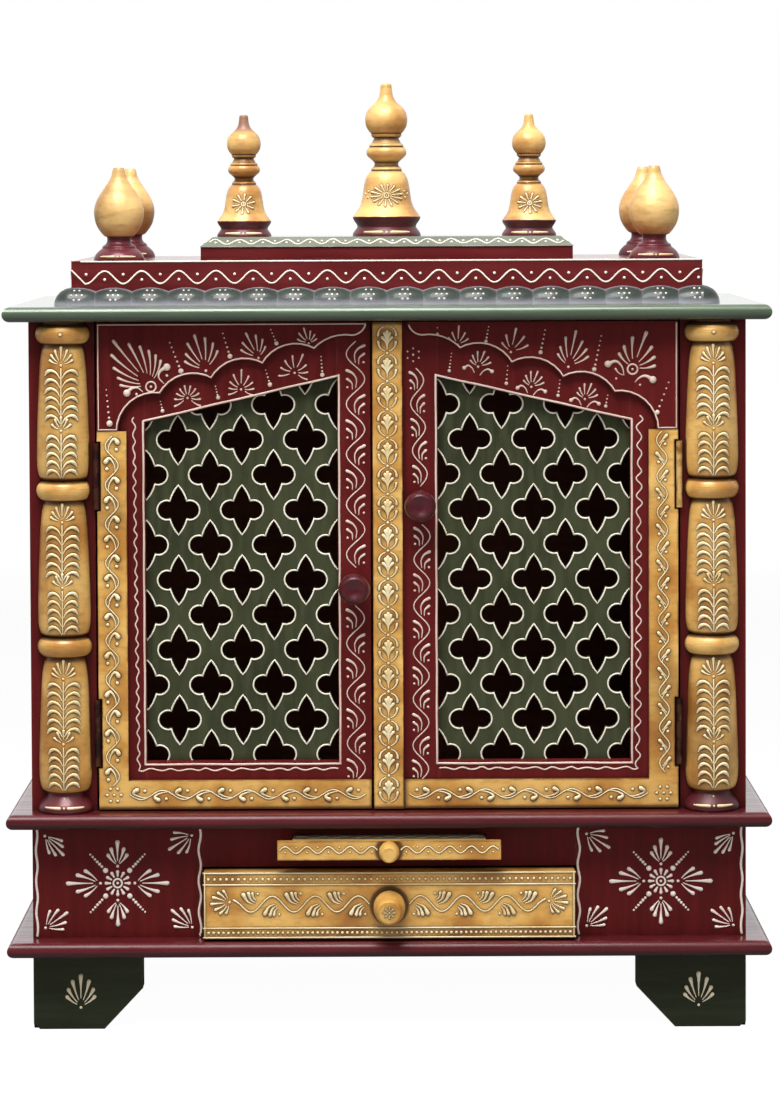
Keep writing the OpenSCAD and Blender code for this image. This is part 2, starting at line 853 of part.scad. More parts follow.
module drawer_bottom() {
    half = drawer_box_w / 2 - drawer_side_t;
    color(dark_wood) block(
        [-half, drawer_back_y, drawer_z],
        [half, drawer_back_y + drawer_l, drawer_z + drawer_bottom_t]
    );
}

// Outline of a barrel knob: it narrows from a rounded foot to a flat face
function barrel_outline(r, l) = smooth([
    [0.9 * r, 0], [r, 0.12 * l], [r, 0.4 * l], [0.92 * r, 0.7 * l], [0.8 * r, 0.92 * l],
    [0.68 * r, l]
]);

module drawer_knob() {
    z = (drawer_z + drawer_gap + drawer_bay_top_z - drawer_gap) / 2;
    color(gold) knob_at(0, drawer_face_y, z, barrel_outline(drawer_knob_r, drawer_knob_l));
}

// ---- Tray ----

module tray_board() {
    color(gold) block([-tray_w / 2, lip_y, tray_z], [tray_w / 2, lip_y + tray_l, tray_top_z]);
}

module tray_front() {
    half = tray_w / 2 + lip_reach;
    color(gold) union() {
        block([-half, lip_y - lip_t, tray_top_z - lip_h], [half, lip_y, tray_top_z]);
        knob_at(0, lip_y - lip_t, tray_top_z - lip_h / 2,
            barrel_outline(tray_knob_r, tray_knob_l));
    }
}

foot(LEFT, FRONT);  // foot_front_left
foot(RIGHT, FRONT);  // foot_front_right
foot(LEFT, REAR);  // foot_rear_left
foot(RIGHT, REAR);  // foot_rear_right
bottom_slab();
base_side(LEFT);  // base_left_side
base_side(RIGHT);  // base_right_side
base_back();
base_front(LEFT);  // base_front_left
base_front(RIGHT);  // base_front_right
tray_fascia();
drawer_guides();
tray_runners();
middle_slab();
wall(LEFT);  // left_wall
wall(RIGHT);  // right_wall
back_panel();
stile(LEFT);  // left_stile
stile(RIGHT);  // right_stile
pillar(LEFT);  // left_pillar
pillar(RIGHT);  // right_pillar
roof_slab();
lower_tier();
petal_moulding();
upper_tier();
upper_cap();
finial(LEFT, FRONT);  // finial_front_left
finial(RIGHT, FRONT);  // finial_front_right
finial(LEFT, REAR);  // finial_rear_left
finial(RIGHT, REAR);  // finial_rear_right
spire(0, centre_spire_scale);  // centre_spire
spire(-spire_pitch, side_spire_scale);  // left_spire
spire(spire_pitch, side_spire_scale);  // right_spire
hinge_frame_leaves();
door_hinge_stile(LEFT);  // left_door_hinge_stile
door_meeting_stile(LEFT);  // left_door_meeting_stile
door_top_rail(LEFT);  // left_door_top_rail
door_bottom_rail(LEFT);  // left_door_bottom_rail
door_lattice(LEFT);  // left_door_lattice
door_arch(LEFT);  // left_door_arch
door_trim(LEFT);  // left_door_trim
door_knob(LEFT);  // left_door_knob
door_leaves(LEFT);  // left_door_leaves
door_hinge_stile(RIGHT);  // right_door_hinge_stile
door_meeting_stile(RIGHT);  // right_door_meeting_stile
door_top_rail(RIGHT);  // right_door_top_rail
door_bottom_rail(RIGHT);  // right_door_bottom_rail
door_lattice(RIGHT);  // right_door_lattice
door_arch(RIGHT);  // right_door_arch
door_trim(RIGHT);  // right_door_trim
door_knob(RIGHT);  // right_door_knob
door_leaves(RIGHT);  // right_door_leaves
meeting_strip();
drawer_front();
drawer_sides();
drawer_back();
drawer_bottom();
drawer_knob();
tray_board();
tray_front();
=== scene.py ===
import cmath
import math

import bpy
from mathutils import Matrix, Vector


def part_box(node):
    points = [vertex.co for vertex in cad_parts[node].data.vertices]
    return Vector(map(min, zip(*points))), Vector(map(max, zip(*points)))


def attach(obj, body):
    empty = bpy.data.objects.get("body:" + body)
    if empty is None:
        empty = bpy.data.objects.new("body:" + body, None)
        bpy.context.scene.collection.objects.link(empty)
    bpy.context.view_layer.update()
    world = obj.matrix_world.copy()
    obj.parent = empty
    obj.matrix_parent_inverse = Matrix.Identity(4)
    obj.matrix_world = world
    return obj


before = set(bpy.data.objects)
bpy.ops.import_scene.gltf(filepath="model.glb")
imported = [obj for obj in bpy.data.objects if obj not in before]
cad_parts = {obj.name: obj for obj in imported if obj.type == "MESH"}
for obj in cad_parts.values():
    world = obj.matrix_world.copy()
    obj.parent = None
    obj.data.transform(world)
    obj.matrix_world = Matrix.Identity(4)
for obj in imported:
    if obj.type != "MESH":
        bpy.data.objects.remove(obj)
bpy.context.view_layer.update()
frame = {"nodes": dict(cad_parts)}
nodes = frame["nodes"]

MM = 0.001
LEFT, RIGHT = -1, 1
SIDES = {LEFT: "left", RIGHT: "right"}


def rgb(red, green, blue):
    """A colour as it is seen on a screen, 0 to 255, in the shader's linear light."""
    linear = [
        c / 12.92 if c <= 0.04045 else ((c + 0.055) / 1.055) ** 2.4
        for c in (red / 255, green / 255, blue / 255)
    ]
    return (*linear, 1.0)


def times(colour, k):
    """The colour made darker or lighter."""
    return (*(min(1.0, c * k) for c in colour[:3]), 1.0)


# ---- Finishes ----


class Value:
    """A socket of a node tree; sums written with it add Math nodes."""

    def __init__(self, nodes, socket):
        self.nodes = nodes
        self.socket = socket

    def __add__(self, other):
        return self.nodes.maths("ADD", self, other)

    def __sub__(self, other):
        return self.nodes.maths("SUBTRACT", self, other)

    def __rsub__(self, other):
        return self.nodes.maths("SUBTRACT", other, self)

    def __mul__(self, other):
        return self.nodes.maths("MULTIPLY", self, other)

    def __lt__(self, other):
        return self.nodes.maths("LESS_THAN", self, other)

    def __gt__(self, other):
        return self.nodes.maths("GREATER_THAN", self, other)

    __radd__ = __add__
    __rmul__ = __mul__


class NodeTree:
    """The node tree of a finish or of the surround."""

    def __init__(self, tree):
        self.tree = tree

    def node(self, kind, settings=None, sockets=None, output=0):
        """Adds a node, sets it up, feeds its sockets and gives back one of its outputs."""
        node = self.tree.nodes.new(kind)
        for name, value in (settings or {}).items():
            setattr(node, name, value)
        for name, value in (sockets or {}).items():
            self.feed(node.inputs[name], value)
        return Value(self, node.outputs[output])

    def feed(self, socket, value):
        """Links a value to a socket, or sets the socket to a constant."""
        if isinstance(value, Value):
            self.tree.links.new(value.socket, socket)
        else:
            socket.default_value = value

    def maths(self, operation, a, b):
        """A Math node on two values."""
        return self.node("ShaderNodeMath", {"operation": operation}, {0: a, 1: b})

    def mix(self, share, a, b):
        """Colour a where share is 0, colour b where it is 1."""
        return self.node(
            "ShaderNodeMix", {"data_type": "RGBA"}, {0: share, 6: a, 7: b}, output=2
        )

    def step(self, value, low, high):
        """0 below low, 1 above high, and smooth between."""
        return self.node(
            "ShaderNodeMapRange",
            {"interpolation_type": "SMOOTHSTEP"},
            {"Value": value, "From Min": low, "From Max": high},
        )


class Finish(NodeTree):
    """One surface of the temple: a Principled shader and the nodes that feed it."""

    # How far a rounded edge's normal may turn before it counts as worn, and as wholly so
    WORN_TURN = (0.02, 0.16)

    def __init__(self, name, roughness=0.4, **constants):
        self.material = bpy.data.materials.new(name)
        self.material.use_nodes = True
        super().__init__(self.material.node_tree)
        self.shader = self.tree.nodes["Principled BSDF"]
        self.shader.inputs["Roughness"].default_value = roughness
        for socket, value in constants.items():
            self.shader.inputs[socket.replace("_", " ")].default_value = value
        self.place = self.node("ShaderNodeTexCoord", output="Object")

    def noise(self, scale, stretch=(1, 1, 1), detail=3.0, offset=(0, 0, 0)):
        """Cloudy noise of about 1 / scale metres, finer along the axes that stretch enlarges."""
        spot = self.node(
            "ShaderNodeMapping", None, {"Vector": self.place, "Location": offset, "Scale": stretch}
        )
        return self.node(
            "ShaderNodeTexNoise", None, {"Vector": spot, "Scale": scale, "Detail": detail}
        )

    def height(self):
        """Height above the ground, in metres."""
        return self.node("ShaderNodeSeparateXYZ", None, {0: self.place}, output="Z")

    def crevice(self, reach, samples=6):
        """1 deep in a corner or beside raised paint, 0 in the open."""
        shut = self.node(
            "ShaderNodeAmbientOcclusion", {"samples": samples}, {"Distance": reach}, output="AO"
        )
        return 1 - shut

    def edge(self, radius):
        """1 along sharp edges, 0 on flat ground."""
        rounded = self.node("ShaderNodeBevel", {"samples": 4}, {"Radius": radius})
        sharp = self.node("ShaderNodeNewGeometry", output="Normal")
        flat = self.node(
            "ShaderNodeVectorMath", {"operation": "DOT_PRODUCT"}, {0: rounded, 1: sharp},
            output="Value",
        )
        return self.step(1 - flat, *self.WORN_TURN)

    def bump(self, height, depth):
        """Relief too fine to model, so many metres deep."""
        normal = self.node(
            "ShaderNodeBump", None, {"Height": height, "Distance": depth, "Strength": 1.0}
        )
        self.feed(self.shader.inputs["Normal"], normal)

    def colour(self, value):
        self.feed(self.shader.inputs["Base Color"], value)

    def roughness(self, value):
        self.feed(self.shader.inputs["Roughness"], value)


def lacquer(
    name, colour, thin, shade_and_dust, grain=(1, 1, 12), gloss=0.42, specular=0.12, cloudy=0.6,
    coat=0.0, top_coat=None, corner=(0.25, 0.9, 0.6),
):
    """Brushed lacquer on wood: cloudy colour, brush marks, thin paint on edges, dust with painted
    shade in corners and, with a top_coat, painted shade on faces that look down below a rounded
    edge. The third colour, for these, is dark, but pale on the petals: a painted sheen with dust
    in their valleys. A coat makes it shine, and a top_coat does so on level tops alone.
    The corner says how deep a corner starts to take that painted shade and dust and is wholly
    so, and how much. The colours are as seen on a screen."""
    colour, thin, shade_and_dust = rgb(*colour), rgb(*thin), rgb(*shade_and_dust)
    f = Finish(name, Specular_IOR_Level=specular, Coat_Weight=coat, Coat_Roughness=0.12)
    cloud = f.noise(7, detail=4)
    brush = f.noise(150, stretch=tuple(1 / g for g in grain), detail=5)
    speck = f.noise(700, detail=2)
    worn = f.edge(0.0022) * f.step(f.noise(60, detail=5), 0.42, 0.6)
    tone = f.mix(f.step(cloud, 0.3, 0.7) * cloudy, colour, times(colour, 0.6))
    tone = f.mix(f.step(brush, 0.35, 0.75) * 0.5, tone, times(colour, 1.45))
    tone = f.mix(f.step(speck, 0.62, 0.75) * 0.3, tone, times(colour, 1.9))
    tone = f.mix(worn * 0.7, tone, thin)
    if top_coat is not None:
        facing = f.node("ShaderNodeNewGeometry", output="Normal")
        upward = f.node("ShaderNodeSeparateXYZ", None, {0: facing}, output="Z")
        shine = coat + (top_coat - coat) * f.step(upward, 0.8, 0.98)
        f.feed(f.shader.inputs["Coat Weight"], shine)
        # Painted shade: faces that look down, as under a rounded edge, turn toward the dark third
        # colour.
        underside_shade = f.step(upward, 0.15, -0.7)
        tone = f.mix(underside_shade * 0.75, tone, shade_and_dust)
    shallow, deep, share = corner
    # Painted shade with dust in deep corners and creases; on the petals a pale painted sheen with
    # dust.
    corner_shade_and_dust = f.step(f.crevice(0.012), shallow, deep)
    f.colour(f.mix(corner_shade_and_dust * share, tone, shade_and_dust))
    f.roughness(gloss + 0.22 * f.step(brush, 0.3, 0.8) - 0.06 * cloud)
    f.bump(0.6 * brush + 0.4 * speck, 0.00025)
    return f


GOLD = rgb(202, 148, 68)
GOLD_DARK = rgb(152, 92, 36)
GOLD_PALE = rgb(222, 178, 100)
UMBER = rgb(72, 42, 18)
MAUVE = rgb(146, 104, 98)


def gilding(
    name, foot_top=None, bands=(), wear=0.5, bright=1.2, pale=0.0, shade=0.3, tip=None, knob=None
):
    """Old gold paint: mottled, rubbed brown on edges, dark wash with painted shade in the hollows
    of the raised work, and painted shade in broader hollows as much as shade says. Below foot_top
    it is maroon, above tip mauve, between each pair of heights in bands brown, and it is rubbed
    brown round the knob. bright makes its colours lighter and pale blends them toward a pale gold;
    set part by part, they paint light and shade on the same gold for how the light falls on each
    part."""
    f = Finish(name, Specular_IOR_Level=0.45, Metallic=0.12)
    cloud = f.noise(24, detail=6)
    patch = f.noise(9, detail=7, offset=(0.4, 0.1, 0.7))
    brush = f.noise(260, stretch=(0.3, 0.3, 1), detail=4)
    # bright and pale set the gold's lightness part by part: painted light and shade.
    tone = f.mix(f.step(cloud, 0.35, 0.68), times(GOLD, bright), times(GOLD_PALE, bright))
    tone = f.mix(pale, tone, rgb(246, 220, 172))
    tone = f.mix(f.step(cloud, 0.54, 0.3) * 0.6, tone, times(GOLD_DARK, bright))
    tone = f.mix(f.step(brush, 0.45, 0.8) * 0.35, tone, times(GOLD_DARK, 0.9))
    tone = f.mix(f.step(patch, 0.56, 0.7) * wear, tone, times(GOLD_DARK, 0.6))
    worn = f.edge(0.0025) * f.step(f.noise(45, detail=6), 0.36, 0.56)
    tone = f.mix(worn * 0.85, tone, times(UMBER, 1.2))
    shaded = f.step(f.crevice(0.03), 0.3, 0.8)
    tone = f.mix(shaded * shade, tone, times(GOLD_DARK, 0.6))
    height = f.height()
    if tip is not None:
        tone = f.mix(f.step(height + 0.004 * cloud, tip, tip + 0.005) * 0.8, tone, MAUVE)
    if knob is not None:
        away = f.node(
            "ShaderNodeVectorMath", {"operation": "DISTANCE"}, {0: f.place, 1: knob},
            output="Value",
        )
        rubbed = f.step(away + 0.008 * f.noise(60), 0.027, 0.016)
        tone = f.mix(rubbed * 0.5, tone, times(GOLD_DARK, 0.85))
    for low, high, depth in bands:
        share = depth + 0.25 * f.step(cloud, 0.6, 0.36)
        tone = f.mix((height > low) * (height < high) * share, tone, times(UMBER, 1.5))
    # Dark wash with painted shade beside the raised work, where a crevice is deep.
    wash_and_shade = f.step(f.crevice(0.005, 12), 0.0, 0.15)
    tone = f.mix(wash_and_shade * 0.9, tone, UMBER)
    if foot_top is not None:
        ragged = height + 0.0012 * f.noise(90, detail=2)
        lacquered = f.mix(f.step(cloud, 0.3, 0.7), rgb(104, 38, 46), rgb(74, 22, 30))
        tone = f.mix(ragged < foot_top + 0.0006, tone, lacquered)
    f.colour(tone)
    f.roughness(0.24 + 0.22 * f.step(cloud, 0.3, 0.75) + 0.1 * brush)
    f.bump(0.5 * cloud + 0.5 * brush, 0.0005)
    return f


def thick_paint(name, colour, dull):
    """Cream paint squeezed on in lines and dots, tanned in places, with dark wash and painted
    shade at its foot. The colours are as seen on a screen."""
    f = Finish(name, roughness=0.42, Specular_IOR_Level=0.4)
    colour, dull = rgb(*colour), rgb(*dull)
    cloud = f.noise(28, detail=4)
    grain = f.noise(900, detail=2)
    tone = f.mix(f.step(cloud, 0.42, 0.66) * 0.6, colour, dull)
    tone = f.mix(f.step(grain, 0.5, 0.8) * 0.3, tone, dull)
    # Dark wash with painted shade at the foot of the raised paint.
    wash_and_shade = f.step(f.crevice(0.0022), 0.3, 0.85)
    f.colour(f.mix(wash_and_shade * 0.6, tone, UMBER))
    f.roughness(0.38 + 0.2 * cloud)
    f.bump(grain, 0.0001)
    return f


maroon = lacquer("maroon lacquer", (94, 24, 24), (116, 54, 44), (26, 8, 8))
roof_maroon = lacquer(
    "roof maroon lacquer", (104, 26, 28), (126, 60, 52), (30, 8, 8),
    grain=(12, 1, 1), gloss=0.36, specular=0.25, coat=0.1, top_coat=0.8,
)
slab_maroon = lacquer(
    "slab lacquer", (92, 26, 32), (118, 58, 58), (26, 8, 10),
    grain=(12, 1, 1), gloss=0.34, specular=0.25, coat=0.12, top_coat=0.8,
)
knob_maroon = lacquer(
    "knob lacquer", (76, 20, 28), (116, 58, 56), (36, 10, 14),
    grain=(1, 1, 1), gloss=0.32, specular=0.3, coat=0.2,
)
roof_green = lacquer(
    "roof green lacquer", (78, 96, 72), (132, 122, 92), (22, 26, 20),
    grain=(12, 1, 1), gloss=0.3, specular=0.5, coat=0.5, top_coat=1.0,
)
cap_green = lacquer(
    "cap green lacquer", (104, 110, 94), (150, 148, 134), (60, 62, 52),
    grain=(12, 1, 1), gloss=0.3, specular=0.5, coat=1.0,
)
# Its third colour is a pale painted sheen, with dust, in the valleys between the petals.
petal_green = lacquer(
    "petal green lacquer", (34, 46, 37), (120, 130, 112), (178, 176, 186),
    grain=(2, 2, 2), gloss=0.36, specular=0.35, coat=0.2, corner=(0.12, 0.42, 0.85),
)
lattice_green = lacquer(
    "grille green lacquer", (66, 70, 48), (98, 84, 58), (28, 20, 14),
    grain=(1, 1, 5), cloudy=1.0,
)
foot_green = lacquer(
    "foot green lacquer", (48, 52, 36), (72, 72, 50), (12, 12, 9),
    grain=(12, 1, 1),
)
bare_wood = lacquer(
    "inner wood", (98, 56, 40), (132, 90, 64), (34, 16, 12),
    grain=(14, 14, 1), gloss=0.5, cloudy=0.8,
)
gold = gilding("gold paint")
cream = thick_paint("cream paint", (255, 244, 232), (248, 224, 204))
# The cream paint made darker for all the doors' ornament: painted shade.
shaded_door_cream = thick_paint("cream paint of the doors in painted shade", (232, 210, 196), (206, 176, 156))
pale_cream = thick_paint("pale cream paint", (248, 242, 224), (220, 212, 186))
gilt_cream = thick_paint("cream paint on gold", (246, 230, 188), (222, 188, 122))
olive_cream = thick_paint("dull cream paint", (196, 184, 138), (160, 146, 96))
foot_cream = thick_paint("foot cream paint", (255, 240, 210), (208, 184, 134))


def hinge_finish():
    """Old bronze metal; the right door's upper hinge has been painted gold with the strip."""
    f = Finish("hinge bronze", Metallic=0.35, Specular_IOR_Level=0.3)
    patch = f.noise(85, detail=5)
    scratch = f.noise(500, stretch=(1, 1, 0.15), detail=3)
    bare = f.mix(f.step(patch, 0.42, 0.58), rgb(36, 18, 13), rgb(74, 40, 26))
    painted = f.mix(f.step(patch, 0.36, 0.6), rgb(150, 98, 42), rgb(226, 186, 116))
    across = f.node("ShaderNodeSeparateXYZ", None, {0: f.place}, output="X")
    between_hinges = 0.36
    tone = f.mix((across > 0) * (f.height() > between_hinges), bare, painted)
    f.colour(f.mix(f.step(scratch, 0.62, 0.8) * 0.35, tone, rgb(176, 140, 96)))
    f.roughness(0.36 + 0.3 * patch)
    f.bump(scratch, 0.0001)
    return f


hinge_bronze = hinge_finish()


# ---- Tools for modelling ----


def mode(name):
    """Goes into edit mode or back to object mode."""
    bpy.ops.object.mode_set(mode=name)


def choose(action):
    """Selects, deselects or inverts everything in edit mode."""
    bpy.ops.mesh.select_all(action=action)


def only(obj):
    """Selects this object alone."""
    bpy.ops.object.select_all(action="DESELECT")
    obj.select_set(True)
    bpy.context.view_layer.objects.active = obj


def span(node, axis):
    """Lowest and highest place of a node along an axis, in millimetres."""
    low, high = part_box(node)
    return low[axis] / MM, high[axis] / MM


def reach(node):
    """The same along X, counted outwards from the temple's middle."""
    return sorted(abs(x) for x in span(node, 0))


class Face:
    """A side of the temple to draw on. u runs to the right and v up, in millimetres; a point is
    the complex number u + v i. On a rounded node each point drops onto its surface."""

    def __init__(self, origin, right=(1, 0, 0), out=(0, -1, 0), up=(0, 0, 1), node=None):
        self.origin, self.right, self.out, self.up = map(Vector, (origin, right, out, up))
        self.node = node

    def at(self, point):
        place = self.origin + (self.right * point.real + self.up * point.imag) * MM
        if self.node is None:
            return place, self.out
        hit, place, normal, _ = nodes[self.node].ray_cast(place + self.out, -self.out)
        return (place, normal) if hit else None


def front(y, side=RIGHT, node=None):
    """A face that looks to the front, u counted outwards from the middle, y in millimetres."""
    return Face((0, y * MM, 0), right=(side, 0, 0), node=node)


def curve_through(points, per_gap=5):
    """A smooth line through a few points."""
    if len(points) < 3:
        return list(points)
    ends = [2 * points[0] - points[1], *points, 2 * points[-1] - points[-2]]
    line = []
    for a, b, c, d in zip(ends, ends[1:], ends[2:], ends[3:]):
        for k in range(per_gap):
            t = k / per_gap
            line.append(
                0.5 * (2 * b + (c - a) * t + (2 * a - 5 * b + 4 * c - d) * t * t
                       + (3 * b - a - 3 * c + d) * t ** 3)
            )
    return [*line, points[-1]]


def model_bead():
    """A flattened half ball of thick paint, 1 unit in radius, that stands on z = 0."""
    bpy.ops.object.select_all(action="DESELECT")
    bpy.ops.mesh.primitive_uv_sphere_add(segments=10, ring_count=7, radius=1)
    bead = bpy.context.object
    mode("EDIT")
    choose("SELECT")
    bpy.ops.mesh.bisect(
        plane_co=(0, 0, -0.25), plane_no=(0, 0, 1), clear_inner=True, use_fill=True
    )
    choose("SELECT")
    bpy.ops.transform.resize(value=(1, 1, 0.72), center_override=(0, 0, 0))
    mode("OBJECT")
    bpy.ops.object.shade_smooth()
    mesh = bead.data
    bpy.data.objects.remove(bead)
    return mesh


bead_mesh = model_bead()


class Relief:
    """Raised ornament on one face: lines and dots of thick paint that become one piece."""

    # How far past a line's end its round end reaches, and how thick it is there, in radii
    ROUND_END = ((0.9, 0.35), (0.55, 0.8))

    def __init__(self, face):
        self.face = face
        self.lines = []
        self.dots = []

    def trace(self, points, start, end=None, ease=1.4):
        """A line of paint with its radius at the start and at the end, in mm, and round ends.
        A high ease keeps it thin for longer."""
        end = start if end is None else end
        last = len(points) - 1
        radii = [start + (end - start) * (k / last) ** ease for k in range(last + 1)]
        first_way = (points[0] - points[1]) / abs(points[0] - points[1])
        last_way = (points[-1] - points[-2]) / abs(points[-1] - points[-2])
        path = [
            *((points[0] + past * start * first_way, thick * start)
              for past, thick in self.ROUND_END),
            *zip(points, radii),
            *((points[-1] + past * end * last_way, thick * end)
              for past, thick in reversed(self.ROUND_END)),
        ]
        placed = [(self.face.at(p), r) for p, r in path]
        self.lines.append([(hit[0], r) for hit, r in placed if hit])

    def dot(self, point, r):
        """A bead of paint with radius r."""
        hit = self.face.at(point)
        if hit:
            self.dots.append((*hit, r))

    def leaf(self, tail, head, bend=0.0, r=1.1, thin=0.4):
        """A stroke that starts thin and ends in a thick round head; bend bows it to its left."""
        bow = (head - tail) * 1j * bend
        points = [
            tail + (head - tail) * t + bow * 4 * t * (1 - t) for t in (0, 0.2, 0.4, 0.6, 0.8, 1)
        ]
        self.trace(points, thin, r, 2.0)

    def curl(self, centre, points, r, thin=0.4):
        """A hooked stroke through points given from a centre, with a blob on its end."""
        self.trace([centre + p for p in curve_through(points, 4)], thin, 0.9 * r)
        self.dot(centre + points[-1], 1.45 * r)

    def fan(self, centre, low, high, reaches, r=1.1, inner=0.34, dot=1.0):
        """Leaves that spread from a centre between two angles, with a dot in the centre."""
        steps = max(1, len(reaches) - 1)
        for k, length in enumerate(reaches):
            angle = math.radians(low + (high - low) * k / steps)
            middle = math.radians((low + high) / 2)
            way = cmath.rect(1, angle)
            bend = 0.07 * math.sin(angle - middle)
            size = r * (0.7 + 0.3 * length / max(reaches))
            self.leaf(centre + way * length * inner, centre + way * length, bend, size)
        if dot:
            self.dot(centre, dot)

    def dotted(self, start, end, small, count, big=0.0):
        """A row of dots that grow from start to end, and a big one last."""
        for k in range(count):
            share = k / count
            self.dot(start + (end - start) * share, small * (0.75 + 0.5 * share))
        self.dot(end, big or small)

    def rows(self, origin, rows):
        """Rows of dots (start, end, small, count, big), measured from an origin."""
        for start, end, small, count, big in rows:
            self.dotted(origin + start, origin + end, small, count, big)

    def fans(self, origin, fans):
        """Palmettes (centre, low angle, high angle, reaches, radius, dot) from an origin."""
        for centre, low, high, reaches, r, dot in fans:
            self.fan(origin + centre, low, high, reaches, r, dot=dot)

    def rosette(self, centre, radius, r, middle, first=0):
        """Six dots round one."""
        self.dot(centre, middle)
        for k in range(6):
            self.dot(centre + cmath.rect(radius, math.radians(first + 60 * k)), r)

    def ring(self, centre, radius, r):
        """A closed round line."""
        turns = [cmath.rect(radius, math.tau * k / 20) for k in range(21)]
        self.trace([centre + p for p in turns], r)

    def wave(self, start, end, swing, bays, r, lead=0.0, unsteady=0.0):
        """A wavy line of so many bows, which starts lead bows into its swing. An unsteady hand
        makes some bows flat and some deep."""
        along = (end - start) / abs(end - start)
        count = max(8, round(bays * 8))
        points = []
        for k in range(count + 1):
            bow = bays * k / count
            drift = unsteady * (math.sin(1.9 * bow) + math.sin(0.73 * bow + 1))
            height = swing * (1 + 0.6 * drift) * math.sin(math.pi * (bow + lead + 0.25 * drift))
            points.append(start + (end - start) * k / count + along * 1j * height)
        self.trace(points, r)

    def dotted_wave(self, start, end, swing, bays, r, below, above, dot, unsteady=0.0):
        """A wavy line with a dot in each bow, by turns below and above the middle."""
        self.wave(start, end, swing, bays, r, unsteady=unsteady)
        for k in range(bays):
            spot = start + (end - start) * (k + 0.5) / bays
            self.dot(spot + (-below if k % 2 == 0 else above) * 1j, dot)

    def vine(self, start, end, swing, bays, sprig, r=0.55, first=1):
        """A wavy stem with a sprig in each hollow. A sprig is a list of strokes (points, radius)
        in bay lengths along the stem and swings away from it; one point alone is a dot."""
        thin, ease = 0.42, 1.7
        along = (end - start) / abs(end - start)
        bay = abs(end - start) / bays
        self.wave(start, end, first * swing, bays, r)
        for k in range(bays):
            away = (-first if k % 2 == 0 else first) * swing
            for points, size in sprig:
                spots = [
                    start + along * ((k + 0.5 + t) * bay) + along * 1j * away * s
                    for t, s in points
                ]
                if len(spots) == 1:
                    self.dot(spots[0], size)
                else:
                    self.trace(curve_through(spots, 4), thin, size, ease)

    def make(self, name, body, finish=None):
        """One piece of all the lines and dots, riding on a body."""
        curve = bpy.data.curves.new(name, "CURVE")
        curve.dimensions = "3D"
        curve.bevel_depth = MM
        curve.bevel_resolution = 1
        curve.use_fill_caps = True
        for line in self.lines:
            spline = curve.splines.new("POLY")
            spline.points.add(len(line) - 1)
            for point, (place, radius) in zip(spline.points, line):
                point.co = (*place, 1)
                point.radius = radius
        piece = bpy.data.objects.new(name, curve)
        bpy.context.collection.objects.link(piece)
        only(piece)
        bpy.ops.object.convert(target="MESH")
        piece = bpy.context.object
        for place, normal, radius in self.dots:
            mesh = bead_mesh.copy()
            turn = normal.to_track_quat("Z", "Y").to_matrix().to_4x4()
            mesh.transform(Matrix.Translation(place) @ turn @ Matrix.Scale(radius * MM, 4))
            bead = bpy.data.objects.new(name + "_dot", mesh)
            bpy.context.collection.objects.link(bead)
            bead.select_set(True)
        bpy.context.view_layer.objects.active = piece
        bpy.ops.object.join()
        dress(piece, body, finish or cream)


def dress(piece, body, finish):
    """Smooths and paints a finished piece and lets it ride on its body."""
    only(piece)
    bpy.ops.object.shade_smooth()
    piece.data.materials.clear()
    piece.data.materials.append(finish.material)
    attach(piece, body)


def edge_lines(name, node, body, inset, r, finish, keep):
    """Raised lines along every edge of a flat node's front, a little way in. keep says of an
    edge's middle whether it gets a line."""
    sheet = nodes[node].copy()
    sheet.data = nodes[node].data.copy()
    sheet.name = name
    for tag in [key for key in sheet.keys() if key.startswith("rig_")]:
        del sheet[tag]
    sheet.parent = None
    bpy.context.collection.objects.link(sheet)
    only(sheet)
    mode("EDIT")
    choose("SELECT")
    bpy.ops.mesh.remove_doubles(threshold=0.002 * MM)
    bpy.ops.mesh.select_mode(type="FACE")
    choose("DESELECT")
    mode("OBJECT")
    for polygon in sheet.data.polygons:
        polygon.select = polygon.normal.y > -0.9
    mode("EDIT")
    bpy.ops.mesh.delete(type="FACE")
    choose("SELECT")
    bpy.ops.mesh.inset(thickness=inset * MM, use_boundary=True)
    choose("INVERT")
    bpy.ops.mesh.delete(type="FACE")
    choose("SELECT")
    bpy.ops.mesh.region_to_loop()
    choose("INVERT")
    bpy.ops.mesh.delete(type="EDGE_FACE")
    bpy.ops.mesh.select_mode(type="EDGE")
    choose("DESELECT")
    mode("OBJECT")
    corners = sheet.data.vertices
    for edge in sheet.data.edges:
        middle = sum((corners[k].co for k in edge.vertices), Vector()) / 2
        edge.select = not keep(middle)
    mode("EDIT")
    bpy.ops.mesh.delete(type="EDGE")
    mode("OBJECT")
    bpy.ops.object.convert(target="CURVE")
    sheet = bpy.context.object
    sheet.data.bevel_depth = r * MM
    sheet.data.bevel_resolution = 1
    sheet.data.use_fill_caps = True
    bpy.ops.object.convert(target="MESH")
    dress(bpy.context.object, body, finish)


# ---- Ornament of the doors ----

# A long leaf, a short leaf and a dot, as on the maroon meeting stiles
STILE_SPRIG = [
    ([(0.34, -0.02), (0.02, -0.1), (-0.22, 0.3), (-0.34, 0.92)], 1.45),
    ([(0.4, 0.34), (0.16, 0.4), (0.0, 0.9)], 1.25),
    ([(0.33, 0.88)], 1.0),
]
# A hook with a thick head and a dot, as on the left door's gold strips
HOOK_SPRIG = [
    ([(0.32, -0.55), (0.04, -0.45), (-0.2, -0.15), (-0.36, 0.25), (-0.34, 0.6), (-0.2, 0.9)], 2.1),
    ([(0.17, 0.72)], 1.45),
]
# A leaf, a thin stroke along the stem and a dot, as on the right door's gold strips
SLIM_SPRIG = [
    ([(0.16, -0.45), (-0.05, 0.25), (-0.27, 0.95)], 1.6),
    ([(0.36, -0.4), (0.14, 0.0), (0.02, 0.42)], 0.75),
    ([(0.22, 0.66)], 1.25),
]
